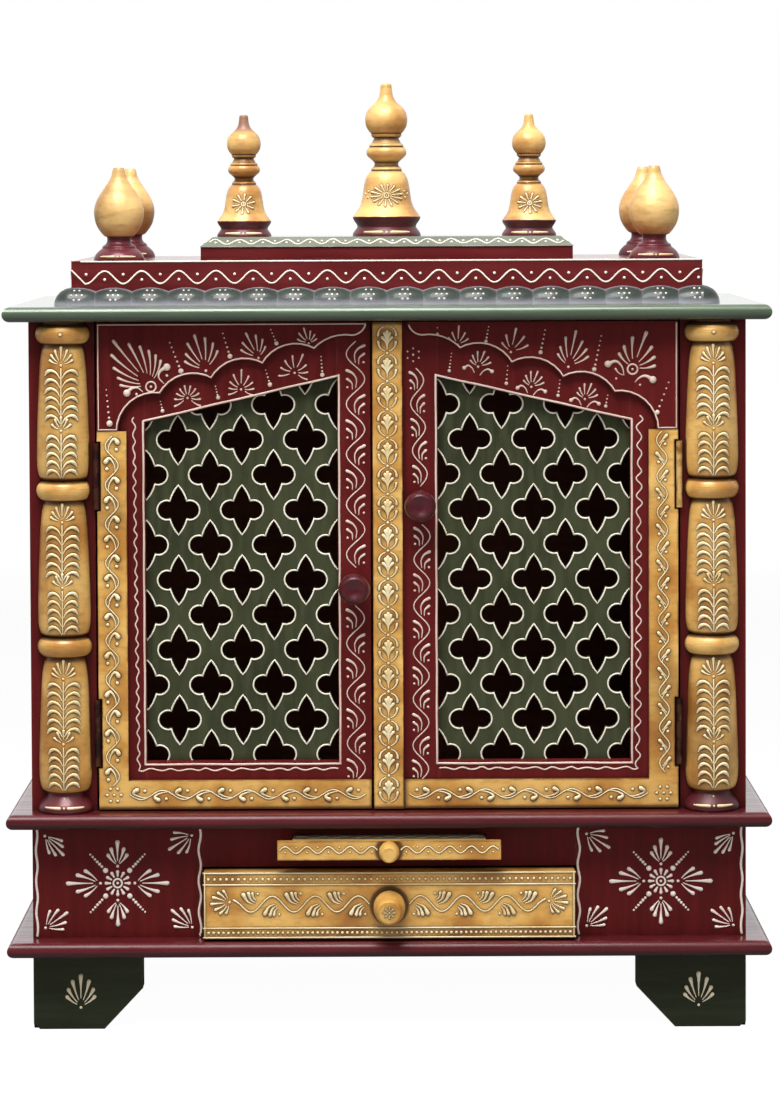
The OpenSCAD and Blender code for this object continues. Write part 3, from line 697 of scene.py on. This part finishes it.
# Three leaves and a dot, as on the drawer
DRAWER_SPRIG = [
    ([(0.12, 0.0), (-0.16, 0.35), (-0.34, 1.2)], 1.9),
    ([(0.2, 0.2), (0.0, 0.6), (-0.1, 1.35)], 1.6),
    ([(0.26, 0.45), (0.12, 0.85), (0.08, 1.35)], 1.3),
    ([(0.32, 1.3)], 1.05),
]


def arch_relief(side):
    """Palmettes and rows of dots on a door's arch board, measured from its top: a ringed
    palmette with curls at the outer corner, and one palmette on each bow further in."""
    door = SIDES[side] + "_door"
    relief = Relief(front(span(f"{door}_arch", 1)[0], side))
    top = span(f"{door}_arch", 2)[1] * 1j
    if side == LEFT:
        ring = top + 188.5 - 50.9j
        relief.ring(ring, 4.0, 0.75)
        relief.dot(ring, 1.1)
        relief.fan(ring, 3, 111, (24, 27, 33, 40, 47, 38, 33, 28.5, 25, 22), r=1.5, dot=0)
        relief.curl(ring, [6.6 - 4j, 10.7 - 0.8j, 15.5 - 1.4j, 19.2 - 4.9j], 2.1)
        relief.curl(ring, [-10.3 + 2.7j, -6.3 + 7.3j, -7.4 + 12.4j, -12.8 + 15.7j], 2.1)
        relief.dot(ring + 11.5 - 5.9j, 1.1)
        relief.dot(ring - 12.8 + 8.9j, 1.1)
        rows = (
            (173.3 - 15.7j, 164.5 - 38.4j, 0.85, 6, 2.2),
            (130.9 - 8.5j, 125.3 - 26.8j, 0.8, 5, 2.1),
            (92.6 - 5.7j, 88.2 - 16.5j, 0.7, 4, 1.8),
            (224.2 - 53.3j, 221.7 - 80.1j, 0.85, 6, 2.6),
        )
        fans = (
            (144.6 - 38.3j, 24, 121, (18, 20.5, 26, 29.5, 26, 22.5, 18), 1.35, 1.2),
            (102.6 - 28.3j, 25, 122, (15, 17.5, 22, 18, 15, 10.5), 1.15, 1.0),
            (62.4 - 16.7j, 20, 150, (9.3, 11, 12.4, 9.6, 8.2, 7), 0.9, 0.9),
        )
    else:
        ring = top + 195.7 - 38.4j
        relief.ring(ring, 4.0, 0.8)
        relief.dot(ring, 1.0)
        relief.fan(ring, 8, 131, (17.5, 19.5, 23, 31, 25, 19, 16), r=1.8, dot=0)
        relief.leaf(ring - 7.7 - 4.6j, ring - 13.5 + 0.3j, 0.12, 0.9)
        relief.curl(ring, [-6.9 - 4.6j, -8.3 + 1.8j, -13.2 + 6.4j, -19.6 + 4.2j], 2.0)
        relief.curl(ring, [2.1 - 10.4j, 5 - 7.2j, 10.2 - 5.4j, 16.2 - 8.4j], 2.1)
        relief.dot(ring - 13 - 7.4j, 0.9)
        relief.dot(ring + 5.9 - 12.6j, 0.9)
        rows = (
            (170.8 - 11.8j, 165.2 - 38.5j, 0.85, 7, 1.9),
            (126.1 - 6.9j, 122.4 - 24.6j, 0.8, 5, 1.7),
            (81 - 4.1j, 78.9 - 15.5j, 0.75, 4, 1.4),
            (40.2 - 4.7j, 40.2 - 9.5j, 0.7, 1, 1.2),
            (224.4 - 49.1j, 215.4 - 72.9j, 0.85, 5, 2.0),
        )
        fans = (
            (144.5 - 36.4j, 27, 129, (17.5, 20, 23, 29, 23.5, 17, 13), 1.3, 1.1),
            (98.7 - 24.4j, 22, 133, (14.3, 16, 19, 14, 10), 1.2, 1.0),
            (56.3 - 18.3j, 30, 142, (9.3, 11, 14.8, 10.5, 9), 0.95, 0.9),
        )
    relief.rows(top, rows)
    relief.fans(top, fans)
    relief.make(f"{door}_arch_relief", door, shaded_door_cream)


def opening_of(door):
    """Edges of a door's opening: inner, outer, bottom, and its top at the two sides, in mm."""
    inner, outer = reach(f"{door}_bottom_rail")
    rail = [v.co / MM for v in nodes[f"{door}_top_rail"].data.vertices]
    top_inner = min(v.z for v in rail if abs(abs(v.x) - inner) < 0.1)
    top_outer = min(v.z for v in rail if abs(abs(v.x) - outer) < 0.1)
    return inner, outer, span(f"{door}_bottom_rail", 2)[1], top_inner, top_outer


def frame_lines(relief, door, far, swing, period):
    """The straight line round a door's opening and the wavy line outside it."""
    inner, outer, low, top_inner, top_outer = opening_of(door)
    near, below = 1.3, 2.2
    corners = [
        complex(inner - near, low - below), complex(outer + near, low - below),
        complex(outer + near, top_outer + near), complex(inner - near, top_inner + near),
    ]
    for a, b in zip(corners, corners[1:] + corners[:1]):
        steps = 24
        relief.trace(
            [a + (b - a) * k / steps + complex(0.15 * math.sin(5 * k), 0.15 * math.cos(7 * k))
             for k in range(steps + 1)], 0.92,
        )
    corner = complex(outer + far * 0.75, low - 6.6)
    top = complex(outer + far, top_outer + 4)
    bows = 2 * round(abs(top - corner) / period)
    relief.wave(top, corner, swing, bows, 0.65, unsteady=0.3)
    end = complex(inner + 1, low - 6.2)
    relief.wave(corner, end, 0.8, 2 * round(abs(end - corner) / 14.7), 0.65, unsteady=0.4)


def frame_relief(side):
    """Palmettes under the arch, lines round the opening and the vine, on a door's frame."""
    door = SIDES[side] + "_door"
    relief = Relief(front(span(f"{door}_bottom_rail", 1)[0], side))
    top = span(f"{door}_arch", 2)[1] * 1j
    knob = sum(span(f"{door}_knob", 2)) / 2 * 1j
    foot = 200j
    if side == LEFT:
        frame_lines(relief, door, 8.8, 1.0, 10.7)
        relief.fans(top, (
            (159.6 - 60.4j, -32, 212, (12, 10, 9.2, 9.3, 10, 9.7, 9.4, 9.4, 10, 11.7), 0.95, 1.0),
            (116.8 - 53.7j, -22, 205, (10.5, 9.5, 10.5, 13, 15.5, 12, 10.5, 10, 11), 0.95, 1.0),
            (74 - 40.6j, -10, 208, (12.5, 11.5, 12.2, 13.5, 16, 11, 10.2, 11), 1.0, 1.0),
        ))
        relief.rows(top, (
            (181.3 - 62.9j, 179.7 - 70.5j, 0.7, 3, 1.6),
            (137.2 - 51.1j, 135.2 - 60j, 0.7, 4, 1.7),
            (97.1 - 38.1j, 93.7 - 49.8j, 0.75, 4, 1.9),
            (52.8 - 27.6j, 51.8 - 42.2j, 0.75, 5, 1.8),
        ))
        relief.vine(top + 25.2 - 15.5j, knob + 25.8 + 16j, 7.4, 9, STILE_SPRIG)
        relief.vine(knob + 26.2 - 15j, foot + 26, 7.2, 7, STILE_SPRIG, first=-1)
    else:
        frame_lines(relief, door, 7.6, 2.0, 13.5)
        for centre in (top + 72.6 - 36.2j, top + 115.1 - 52.5j, top + 157.9 - 62.5j):
            relief.fan(centre, 18, 140, (10.3, 11.2, 13, 12, 9.8, 7.8), r=0.95)
            relief.curl(centre, [-3 - 4.6j, -4.9 - 0.8j, -8 + 1.1j, -11 - 0.8j], 1.15)
            relief.curl(centre, [1.6 - 6.6j, 4.6 - 3.2j, 8 - 2j, 11.2 - 3.8j], 1.15)
        relief.rows(top, (
            (51.4 - 25.4j, 49.6 - 39.3j, 0.7, 5, 1.4),
            (96.3 - 35.7j, 95.2 - 49.7j, 0.7, 4, 1.5),
            (138.1 - 47.2j, 136.5 - 59.5j, 0.7, 4, 1.4),
            (176.2 - 59.5j, 174.6 - 68.2j, 0.7, 3, 1.4),
        ))
        relief.rosette(top + 20.8 - 26.4j, 5.2, 0.8, 0.95, first=30)
        relief.vine(top + 23.2 - 37.5j, knob + 26.5 + 15j, 5.6, 5, STILE_SPRIG)
        relief.vine(knob + 27.5 - 16j, foot + 25.5, 6.4, 11, STILE_SPRIG)
    relief.make(f"{door}_frame_relief", door, shaded_door_cream)


def strip_relief(side, sprig, start, bay, swing, first, insets):
    """The vine on a door's side and bottom strip. It starts so far under the strip's top, with
    bays of the given length, and the first one bows outwards or inwards. The insets are its
    distances from the strip's outer edge at the top and at the bottom."""
    door = SIDES[side] + "_door"
    trim = door + "_trim"
    relief = Relief(front(span(trim, 1)[0], side))
    low, high = span(trim, 2)
    inner, outer = reach(trim)
    corner, bottom = outer - 11.8, low + 11.5
    bays = round((high - start - low - 26) / bay)
    relief.vine(
        complex(outer - insets[0], high - start),
        complex(outer - insets[1], high - start - bays * bay), swing, bays, sprig, first=first,
    )
    relief.vine(
        complex(outer - 25, bottom), complex(inner + 5, bottom), 3.7, 11,
        [([(t, 1.2 * s) for t, s in points], 0.92 * size) for points, size in HOOK_SPRIG],
    )
    relief.rosette(complex(corner, bottom), 5.6, 1.2, 1.1)
    relief.make(f"{door}_strip_relief", door, gilt_cream)


def meeting_strip_relief():
    """The chain of kites down the strip between the doors."""
    low, high = span("meeting_strip", 2)
    relief = Relief(front(span("meeting_strip", 1)[0]))
    count, end_gap = 17, 3
    pitch = (high - low - 2 * end_gap) / count
    for k in range(count):
        kite = complex(0, low + 4 + pitch * (k + 0.52))
        root = kite - 8.6j
        for way in (-1, 0, 1):
            tip = kite + way * 2.0 + (5.6 - 1.6 * abs(way)) * 1j
            relief.leaf(root, tip, 0.06 * way, 1.6, 0.5)
        for way in (-1, 1):
            for tail, head, bend, r in (
                (root, way * 3.7 + 0.6j, 0.12, 1.5),
                (kite + way * 2.4 + 9.4j, way * 7.2 + 2.6j, 0.18, 1.2),
                (kite + way * 2.0 - 10.2j, way * 7.0 - 2.8j, -0.16, 1.2),
            ):
                relief.leaf(tail, kite + head, bend * way, r, 0.5)
        if k:
            relief.dot(kite - 0.52j * pitch, 1.15)
    relief.make("meeting_strip_relief", "right_door", gilt_cream)


# ---- Ornament of the cabinet ----


# A drooping leaf from root to tip: share of its width, and height over the root in mm
DROOP = ((0, 0), (0.22, 4.2), (0.58, 6.2), (0.86, 4.8), (1, 2.2))


def feather(relief, u, low, high, pairs, width=11.0):
    """A stem with drooping leaves on both sides."""
    relief.trace([complex(u, low + (high - low) * k / 6) for k in range(7)], 0.6)
    for k in range(pairs):
        v = low + (high - low) * (k + 0.2) / pairs
        for way in (-1, 1):
            root = complex(u + way * 0.9, v - 2)
            bow = curve_through([root + complex(out * way * width, v) for out, v in DROOP], 3)
            relief.trace(bow[:9], 0.45, 1.55, 1.0)
            relief.trace(bow[8:], 1.55, 0.7, 1.0)


def pillar_relief(side):
    """Feathers and palmettes on each vase of a pillar."""
    node = SIDES[side] + "_pillar"
    u = sum(reach(node)) / 2
    low, high = span(node, 2)
    relief = Relief(front(0, side, node))
    ring = 16.0
    vase = (high - low - 2 - 4 * ring) / 3
    upper_palmette = (24, 156, (9.5, 11, 12.5, 14, 12.5, 11, 9.5), 1.35)
    lower_palmette = (34, 146, (8.6, 10, 10.6, 10, 8.6), 1.3)
    for k in range(3):
        foot = low + ring + k * (vase + ring)
        relief.fan(complex(u, foot + 0.848 * vase), *upper_palmette, dot=1.1)
        feather(relief, u, foot + 0.432 * vase, foot + 0.825 * vase, 6, 12.0)
        relief.fan(complex(u, foot + 0.372 * vase), *lower_palmette, dot=1.1)
        feather(relief, u, foot + 0.035 * vase, foot + 0.345 * vase, 5)
    relief.dot(complex(u, high - 10), 1.4)
    dashes(relief, u, low + 5.2, 22)
    relief.dot(complex(u, low + 12), 0.8)
    relief.make(f"{node}_relief", "cabinet", gilt_cream)


def dashes(relief, u, v, radius):
    """Dash, dot, dash round the front of a turned foot."""
    relief.dot(complex(u, v), 0.045 * radius)
    for way in (-1, 1):
        relief.trace(
            [complex(u + way * radius * t, v) for t in (0.16, 0.3, 0.44, 0.58, 0.68)],
            0.06 * radius, 0.035 * radius,
        )


def mandala(relief, centre, wide, tall):
    """A ring of petals with a palmette on each side and dotted lines between."""
    relief.ring(centre, 3.5, 0.85)
    relief.dot(centre, 1.1)
    for k in range(12):
        way = cmath.rect(1, math.radians(30 * k))
        relief.leaf(centre + 5.9 * way, centre + 9.2 * way, 0, 1.5, 0.8)
    for angle, length in ((0, wide), (90, tall), (180, wide), (270, tall)):
        root = centre + cmath.rect(13.8, math.radians(angle))
        reaches = (0.6 * length, 0.75 * length, length, 0.75 * length, 0.6 * length)
        relief.fan(root, angle - 40, angle + 40, reaches, 1.95, inner=0.24, dot=1.25)
    for angle in (47, 133, 227, 313):
        way = cmath.rect(1, math.radians(angle))
        relief.dotted(centre + 32 * way, centre + 18.5 * way, 1.15, 5)
        relief.dot(centre + 14.2 * way, 2.25)


def corner_fans(relief, left, right, low, high, size=1.0):
    """A small palmette that grows out of each corner of a panel."""
    reaches = [size * r for r in (14, 16.5, 21, 17.5, 14)]
    for u, v, start, end in (
        (left, low, 3, 78), (right, low, 185, 105), (right, high, 196, 256), (left, high, 10, -73)
    ):
        relief.fan(complex(u, v), start, end, reaches, 1.5, inner=0.22, dot=1.2)


def base_panel_relief(side):
    """A mandala, corner palmettes and two hand-drawn upright lines on a front panel."""
    node = f"base_front_{SIDES[side]}"
    relief = Relief(front(span(node, 1)[0], side))
    (inner, outer), (low, high) = reach(node), span(node, 2)
    mandala(relief, complex((inner + outer) / 2, (low + high) / 2 - 1.5), 26, 19.5)
    corner_fans(relief, inner + 8.5, outer - 10, low + 8, high - 8.5)
    for u, swing in ((outer - 3.4, 0.6), (inner + 2.2, 0.9)):
        relief.wave(complex(u, low + 1.5), complex(u, high - 1.5), swing, 7, 1.05)
    relief.make(f"{node}_relief", "cabinet")


def side_relief(side):
    """The same kind of ornament on a side wall and on the base's side."""
    wall = SIDES[side] + "_wall"
    x = side * reach(wall)[1] * MM
    relief = Relief(Face((x, 0, 0), right=(0, 1, 0), out=(side, 0, 0)))
    for node, margin in ((wall, 12), (f"base_{SIDES[side]}_side", 8)):
        left, right = (v + way * margin for v, way in zip(span(node, 1), (1, -1)))
        low, high = (v + way * margin for v, way in zip(span(node, 2), (1, -1)))
        corners = [complex(u, v) for u, v in
                   ((left, low), (right, low), (right, high), (left, high))]
        for a, b in zip(corners, corners[1:] + corners[:1]):
            relief.wave(a, b, 0.5, round(abs(b - a) / 22), 0.75)
        mandala(relief, complex((left + right) / 2, (low + high) / 2), 26, 19)
        corner_fans(relief, left + 6, right - 6, low + 6, high - 6, margin / 10)
    relief.make(f"{SIDES[side]}_side_relief", "cabinet")


def foot_relief(side, end):
    """A palmette on a foot's outer side, and one on the front of a front foot."""
    node = f"foot_{end}_{SIDES[side]}"
    outer, low = reach(node)[1], span(node, 2)[0]
    near, far = span(node, 1)
    palmette = (38, 142, (14, 17.5, 22, 25.5, 22, 17.5, 14), 1.95)
    root = low + 17.5
    relief = Relief(Face((side * outer * MM, 0, 0), right=(0, 1, 0), out=(side, 0, 0)))
    relief.fan(complex((near + far) / 2, root), *palmette, inner=0.3, dot=1.2)
    if end == "front":
        relief.face = front(near, side)
        relief.fan(complex(outer - 38, root), *palmette, inner=0.3, dot=1.2)
    relief.make(f"{node}_relief", "cabinet", foot_cream)


# ---- Ornament of the roof ----


def faces_round(node, on=None):
    """The front, the two sides and the back of a node's box: a face to draw on, and its length.
    Where on names a node, what is drawn drops onto its surface."""
    (left, right), (near, far) = span(node, 0), span(node, 1)
    middle = (near + far) / 2 * MM
    return [
        (Face((0, near * MM, 0), node=on), right - left),
        (Face((right * MM, middle, 0), (0, 1, 0), (1, 0, 0), node=on), far - near),
        (Face((left * MM, middle, 0), (0, 1, 0), (-1, 0, 0), node=on), far - near),
        (Face((0, far * MM, 0), (-1, 0, 0), (0, 1, 0), node=on), right - left),
    ]


def tier_relief():
    """A wavy line with dots all round the lower tier."""
    high = span("lower_tier", 2)[1]
    relief = Relief(None)
    bow, swing = 15.05, 5.1
    for face, length in faces_round("lower_tier"):
        relief.face = face
        lead = complex(0.6 - length / 2, high - 13.3)
        start = lead + 11.3
        dip = [lead + 5.4j, lead + 5 + 0.4j, lead + 10.6 - 5.2j, start - 5.2j]
        relief.trace(curve_through(dip), 0.75)
        run = length / 2 - 3 - start.real
        count = round(run / bow)
        bay = run / count
        relief.wave(start, start + bay * count, swing, count, 0.75, lead=-0.5)
        for k in range(count + 1):
            relief.dot(start + bay * k + (2.4j if k % 2 == 0 else -1.8j), 1.2)
        edge = (high - 0.6) * 1j
        relief.trace([edge - length / 2 + 8, edge + length / 2 - 0.8], 0.7)
    relief.make("lower_tier_relief", "cabinet")


def petal_dots():
    """Six dots round one on each petal of the moulding."""
    relief = Relief(None)
    low = span("petal_moulding", 2)[0]
    inset, long_side = 5, 300
    for face, length in faces_round("lower_tier", "petal_moulding"):
        relief.face = face
        petals = 18 if length > long_side else 7
        for k in range(petals):
            u = -length / 2 + inset + (length - 2 * inset) * k / (petals - 1)
            relief.rosette(complex(u, low + 8.2), 4.2, 0.85, 0.9)
    relief.make("petal_dots", "cabinet")


def cap_relief():
    """A wavy line with dots on the slanted front and sides of the cap."""
    relief = Relief(None)
    middle = sum(span("upper_cap", 2)) / 2 * 1j
    bow = 19.5
    for face, length in faces_round("upper_cap", "upper_cap")[:3]:
        relief.face = face
        start, end = middle + 8.5 - length / 2, middle + length / 2 - 8.5
        waves = 2 * round(abs(end - start) / bow)
        relief.dotted_wave(start, end, 1.8, waves, 0.75, 0.6, 0.6, 1.1, unsteady=0.15)
    relief.make("upper_cap_relief", "cabinet", pale_cream)


def spire_relief(node, size, wide, tall, petals):
    """A flower on the front of a spire's bell, and dashes on its foot. The middle spire's flower
    has dots beside it."""
    u = sum(span(node, 0)) / 2
    low = span(node, 2)[0]
    relief = Relief(front(0, RIGHT, node))
    centre = complex(u, low + 34 * size)
    relief.ring(centre, 2.0 * size, 0.6)
    relief.dot(centre, 0.8)
    for k in range(petals):
        angle = math.tau * (k + 0.3) / petals
        way = complex(wide * math.cos(angle), tall * math.sin(angle))
        relief.leaf(centre + 0.4 * way, centre + way, 0, 1.05, 0.5)
    if node == "centre_spire":
        for way in (-1, 1):
            for along, lift in ((15.4, -1.5), (17.2, 1.5), (14.6, 3.5)):
                relief.dot(centre + complex(way * along, lift), 0.95)
    dashes(relief, u, low + 3.4 * size, 27 * size)
    relief.make(f"{node}_relief", "cabinet", gilt_cream)


def finial_relief(node):
    """Dashes on a finial's foot."""
    u, low = sum(span(node, 0)) / 2, span(node, 2)[0]
    relief = Relief(front(0, RIGHT, node))
    dashes(relief, u, low + 3, 20)
    relief.make(f"{node}_relief", "cabinet", gilt_cream)


# ---- Ornament of the drawer and the tray ----


def drawer_relief():
    """Bands of dots, a vine and two palmettes on the drawer's front."""
    (left, right), (low, high) = span("drawer_front", 0), span("drawer_front", 2)
    y = span("drawer_front", 1)[0]
    relief = Relief(front(y))
    bottom_edge, top_edge = low + 1.2, high - 1.2
    bottom_line, top_line = low + 8.8, high - 10
    for v in (top_line, bottom_line, bottom_edge, high - 0.7):
        relief.trace([complex(left + (right - left) * k / 30, v) for k in range(31)], 0.7)
    for u in (left + 1, right - 1):
        relief.trace([complex(u, v) for v in (bottom_edge, (low + high) / 2, top_edge)], 0.6)
    run = right - left - 8
    for v, pitch in (((top_edge + top_line) / 2, 4.8), ((bottom_edge + bottom_line) / 2, 3.96)):
        dots = round(run / pitch)
        for k in range(dots + 1):
            relief.dot(complex(left + 4 + run * k / dots, v), 1.2)
    middle = ((top_line + bottom_line) / 2 + 1.8) * 1j
    tail = [124.4 + 3.4j, 122 + 2j, 119.3 + 0j]
    palmette = (-72, 62, (9.1, 11.4, 12.8, 14.4, 13.6, 11.9, 10.4), 1.4)
    for way in (-1, 1):
        relief.face = front(y, way)
        relief.vine(middle + tail[-1], middle + 16.2, 6.4, 6, DRAWER_SPRIG, r=0.65)
        relief.trace([middle + point for point in tail], 0.9, 0.65)
        relief.fan(middle + 127.6 + 1.6j, *palmette, dot=1.1)
    relief.make("drawer_front_relief", "drawer", gilt_cream)


def drawer_knob_relief():
    """A small flower on the knob's flat face."""
    relief = Relief(front(span("drawer_knob", 1)[0]))
    centre = complex(0, sum(span("drawer_knob", 2)) / 2)
    relief.dot(centre, 0.9)
    for k in range(8):
        way = cmath.rect(1, math.tau * k / 8)
        relief.leaf(centre + 2 * way, centre + 4.4 * way, 0, 0.7, 0.4)
    relief.make("drawer_knob_relief", "drawer", olive_cream)


def tray_relief():
    """Wavy lines with dots on the tray's lip and, flat enough for its slot, on its board."""
    right, (low, high) = span("tray_front", 0)[1], span("tray_front", 2)
    middle = ((low + high) / 2 + 0.6) * 1j
    relief = Relief(None)
    for way in (-1, 1):
        relief.face = front(0, way, "tray_front")
        relief.dotted_wave(middle + 9.5, middle + right - 2, 2.7, 9, 0.6, 1.9, 2.2, 0.75)
    relief.face = Face((0, 0, high * MM), out=(0, 0, 1), up=(0, 1, 0))
    half = span("tray_board", 0)[1] - 3
    across = (span("tray_board", 1)[0] + 9) * 1j
    relief.dotted_wave(across - half, across + half, 3.4, 17, 0.4, 2.6, 2.6, 0.55)
    relief.make("tray_relief", "tray", gilt_cream)


# ---- Painting the CAD nodes ----


def paint(finish, *names):
    """Gives CAD nodes a finish."""
    for name in names:
        slots = nodes[name].data.materials
        for k in range(len(slots)):
            slots[k] = finish.material


def paint_nodes():
    """Paints every CAD node with the finish of its place on the temple."""
    for side in SIDES.values():
        door = side + "_door"
        paint(
            maroon, f"base_front_{side}", f"base_{side}_side", f"{side}_wall", f"{side}_stile",
            *(f"{door}_{part}" for part in
              ("hinge_stile", "meeting_stile", "top_rail", "bottom_rail", "arch")),
        )
        paint(lattice_green, door + "_lattice")
        paint(gold, door + "_trim")
        paint(knob_maroon, door + "_knob")
        paint(hinge_bronze, door + "_leaves")
        paint(foot_green, f"foot_front_{side}", f"foot_rear_{side}")
    paint(maroon, "tray_fascia")
    paint(roof_maroon, "lower_tier", "upper_tier")
    paint(slab_maroon, "bottom_slab", "middle_slab")
    paint(roof_green, "roof_slab")
    paint(cap_green, "upper_cap")
    paint(petal_green, "petal_moulding")
    paint(hinge_bronze, "hinge_frame_leaves")
    paint(gold, "tray_front")
    # The tray board's gold, painted pale: painted light on a board that lies in the middle slab's
    # shade.
    paint(thick_paint("tray gold lightened as painted light", (244, 226, 176), (222, 178, 100)), "tray_board")
    paint(
        bare_wood, "base_back", "back_panel", "drawer_guides", "tray_runners", "drawer_sides",
        "drawer_back", "drawer_bottom",
    )
    low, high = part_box("drawer_front")
    bands = [(low.z + 0.0012, low.z + 0.0088, 0.26), (high.z - 0.01, high.z - 0.0012, 0.12)]
    knob = (0, low.y, sum(span("drawer_knob", 2)) / 2 * MM)
    spire_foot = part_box("centre_spire")[0].z
    finials = [f"finial_{end}_{side}" for end in ("front", "rear") for side in SIDES.values()]
    # The same gold paint, made lighter, darker or paler part by part with bright and pale for how
    # the light falls on each part: painted light and shade. shade darkens broad hollows: painted
    # shade.
    for name, painted, looks in (
        ("meeting strip gold", ["meeting_strip"], dict(bright=1.26, shade=0.2)),
        ("knob gold", ["drawer_knob"], dict(bright=1.2)),
        ("gold paint with dark bands", ["drawer_front"],
         dict(bands=bands, bright=1.28, knob=knob)),
        ("centre spire gold", ["centre_spire"],
         dict(foot_top=spire_foot + 0.0162, wear=0.8, bright=1.3, pale=0.22)),
        ("left spire gold", ["left_spire"],
         dict(foot_top=spire_foot + 0.0129, wear=0.9, bright=1.2, pale=0.2,
              tip=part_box("left_spire")[1].z - 0.013)),
        ("right spire gold", ["right_spire"],
         dict(foot_top=spire_foot + 0.0129, wear=0.8, bright=1.25, pale=0.2)),
        ("finial gold", finials,
         dict(foot_top=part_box(finials[0])[0].z + 0.0185, wear=0.8, bright=1.25, pale=0.3)),
        ("pillar gold", ["left_pillar", "right_pillar"],
         dict(foot_top=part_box("left_pillar")[0].z + 0.016, wear=0.7, bright=1.14, pale=0.08,
              shade=0.7)),
    ):
        paint(gilding(name, **looks), *painted)


# ---- Stage ----


def set_stage():
    """A pale floor, a white surround and soft lamps."""
    temple_middle = Vector((0, 0, 0.38))
    pale = 0.42
    bpy.ops.object.select_all(action="DESELECT")
    bpy.ops.mesh.primitive_plane_add(size=14, location=(0, 2.0, 0))
    floor = bpy.context.object
    floor.name = "floor"
    f = Finish("pale floor", roughness=0.9, Specular_IOR_Level=0.0)
    f.shader.inputs["Base Color"].default_value = (pale, pale, pale, 1)
    seen = f.node("ShaderNodeLightPath", output="Is Camera Ray")
    away = f.node("ShaderNodeVectorMath", {"operation": "LENGTH"}, {0: f.place}, output="Value")
    strength = 1.2 + 0.16 * f.step(away, 0.7, 3.0)
    glow = f.node("ShaderNodeEmission", None, {"Color": (1, 1, 1, 1), "Strength": strength})
    blend = f.node(
        "ShaderNodeMixShader", None,
        {0: 0.75 * seen, 1: Value(f, f.shader.outputs[0]), 2: glow},
    )
    f.feed(f.tree.nodes["Material Output"].inputs["Surface"], blend)
    floor.data.materials.append(f.material)

    world = bpy.data.worlds.new("surround")
    world.use_nodes = True
    bpy.context.scene.world = world
    surround = NodeTree(world.node_tree)
    way = {0: surround.node("ShaderNodeTexCoord", output="Generated")}
    lift = surround.node("ShaderNodeSeparateXYZ", None, way, output="Z")
    back = surround.node("ShaderNodeSeparateXYZ", None, way, output="Y")
    bright = surround.step(back + 1.6 * lift, -0.2, 0.9)
    camera = surround.node("ShaderNodeLightPath", output="Is Camera Ray")
    glossy = surround.node("ShaderNodeLightPath", output="Is Glossy Ray")
    clear = surround.node("ShaderNodeLightPath", output="Is Transmission Ray")
    shine = 0.1 + 0.95 * bright
    plain = 0.16 + 0.34 * bright
    strength = plain + glossy * (shine - plain)
    strength = strength + surround.maths("MAXIMUM", camera, clear) * (1 - strength)
    background = world.node_tree.nodes["Background"]
    surround.feed(background.inputs["Color"], (1, 1, 1, 1))
    surround.feed(background.inputs["Strength"], strength)

    for name, place, size, power in (
        ("key", (-0.3, -1.12, 2.5), 1.3, 80),
        ("fill", (0.9, -3.2, 1.0), 1.8, 11),
    ):
        lamp = bpy.data.lights.new(name, "AREA")
        lamp.shape = "SQUARE"
        lamp.size = size
        lamp.energy = power
        holder = bpy.data.objects.new(name, lamp)
        holder.location = place
        aim = temple_middle - Vector(place)
        holder.rotation_euler = aim.to_track_quat("-Z", "Y").to_euler()
        holder.visible_glossy = name == "key"
        bpy.context.collection.objects.link(holder)


def set_camera():
    """A long lens in front, a little above the roof, that looks slightly down."""
    camera = bpy.data.cameras.new("camera")
    camera.lens = 115.8
    camera.sensor_width = 36.0
    camera.shift_y = -0.2
    holder = bpy.data.objects.new("camera", camera)
    holder.location = (0.0024, -2.9594, 0.6739)
    down, roll = math.radians(2.293), math.radians(-0.24)
    turn = Matrix.Rotation(math.pi / 2 - down, 4, "X") @ Matrix.Rotation(roll, 4, "Z")
    holder.rotation_euler = turn.to_euler()
    bpy.context.collection.objects.link(holder)
    bpy.context.scene.camera = holder
    bpy.context.scene.view_settings.view_transform = "Standard"


# ---- Putting it together ----

set_camera()
set_stage()
paint_nodes()

for side in (LEFT, RIGHT):
    arch_relief(side)
for side in (LEFT, RIGHT):
    frame_relief(side)
strip_relief(LEFT, HOOK_SPRIG, 4, 15.6, 5.2, 1, (11.8, 11))
strip_relief(RIGHT, SLIM_SPRIG, 1.6, 14.4, 4.1, -1, (13.2, 10.8))
for side in (LEFT, RIGHT):
    door = SIDES[side] + "_door"
    edge_lines(
        f"{door}_lattice_relief", f"{door}_lattice", door, 0.8, 0.74, pale_cream,
        lambda middle: True,
    )
    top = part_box(f"{door}_arch")[1].z - 2 * MM
    edge_lines(
        f"{door}_arch_outline", f"{door}_arch", door, 1.3, 0.72, shaded_door_cream,
        (lambda middle: True) if side == LEFT else (lambda middle: middle.z < top),
    )
    pillar_relief(side)
    base_panel_relief(side)
    side_relief(side)
    for end in ("front", "rear"):
        foot_relief(side, end)
        finial_relief(f"finial_{end}_{SIDES[side]}")
meeting_strip_relief()
tier_relief()
petal_dots()
cap_relief()
spire_relief("centre_spire", 0.99, 12.4, 8.8, 14)
spire_relief("left_spire", 0.79, 8.6, 7.9, 10)
spire_relief("right_spire", 0.79, 9.2, 7.9, 11)
drawer_relief()
drawer_knob_relief()
tray_relief()
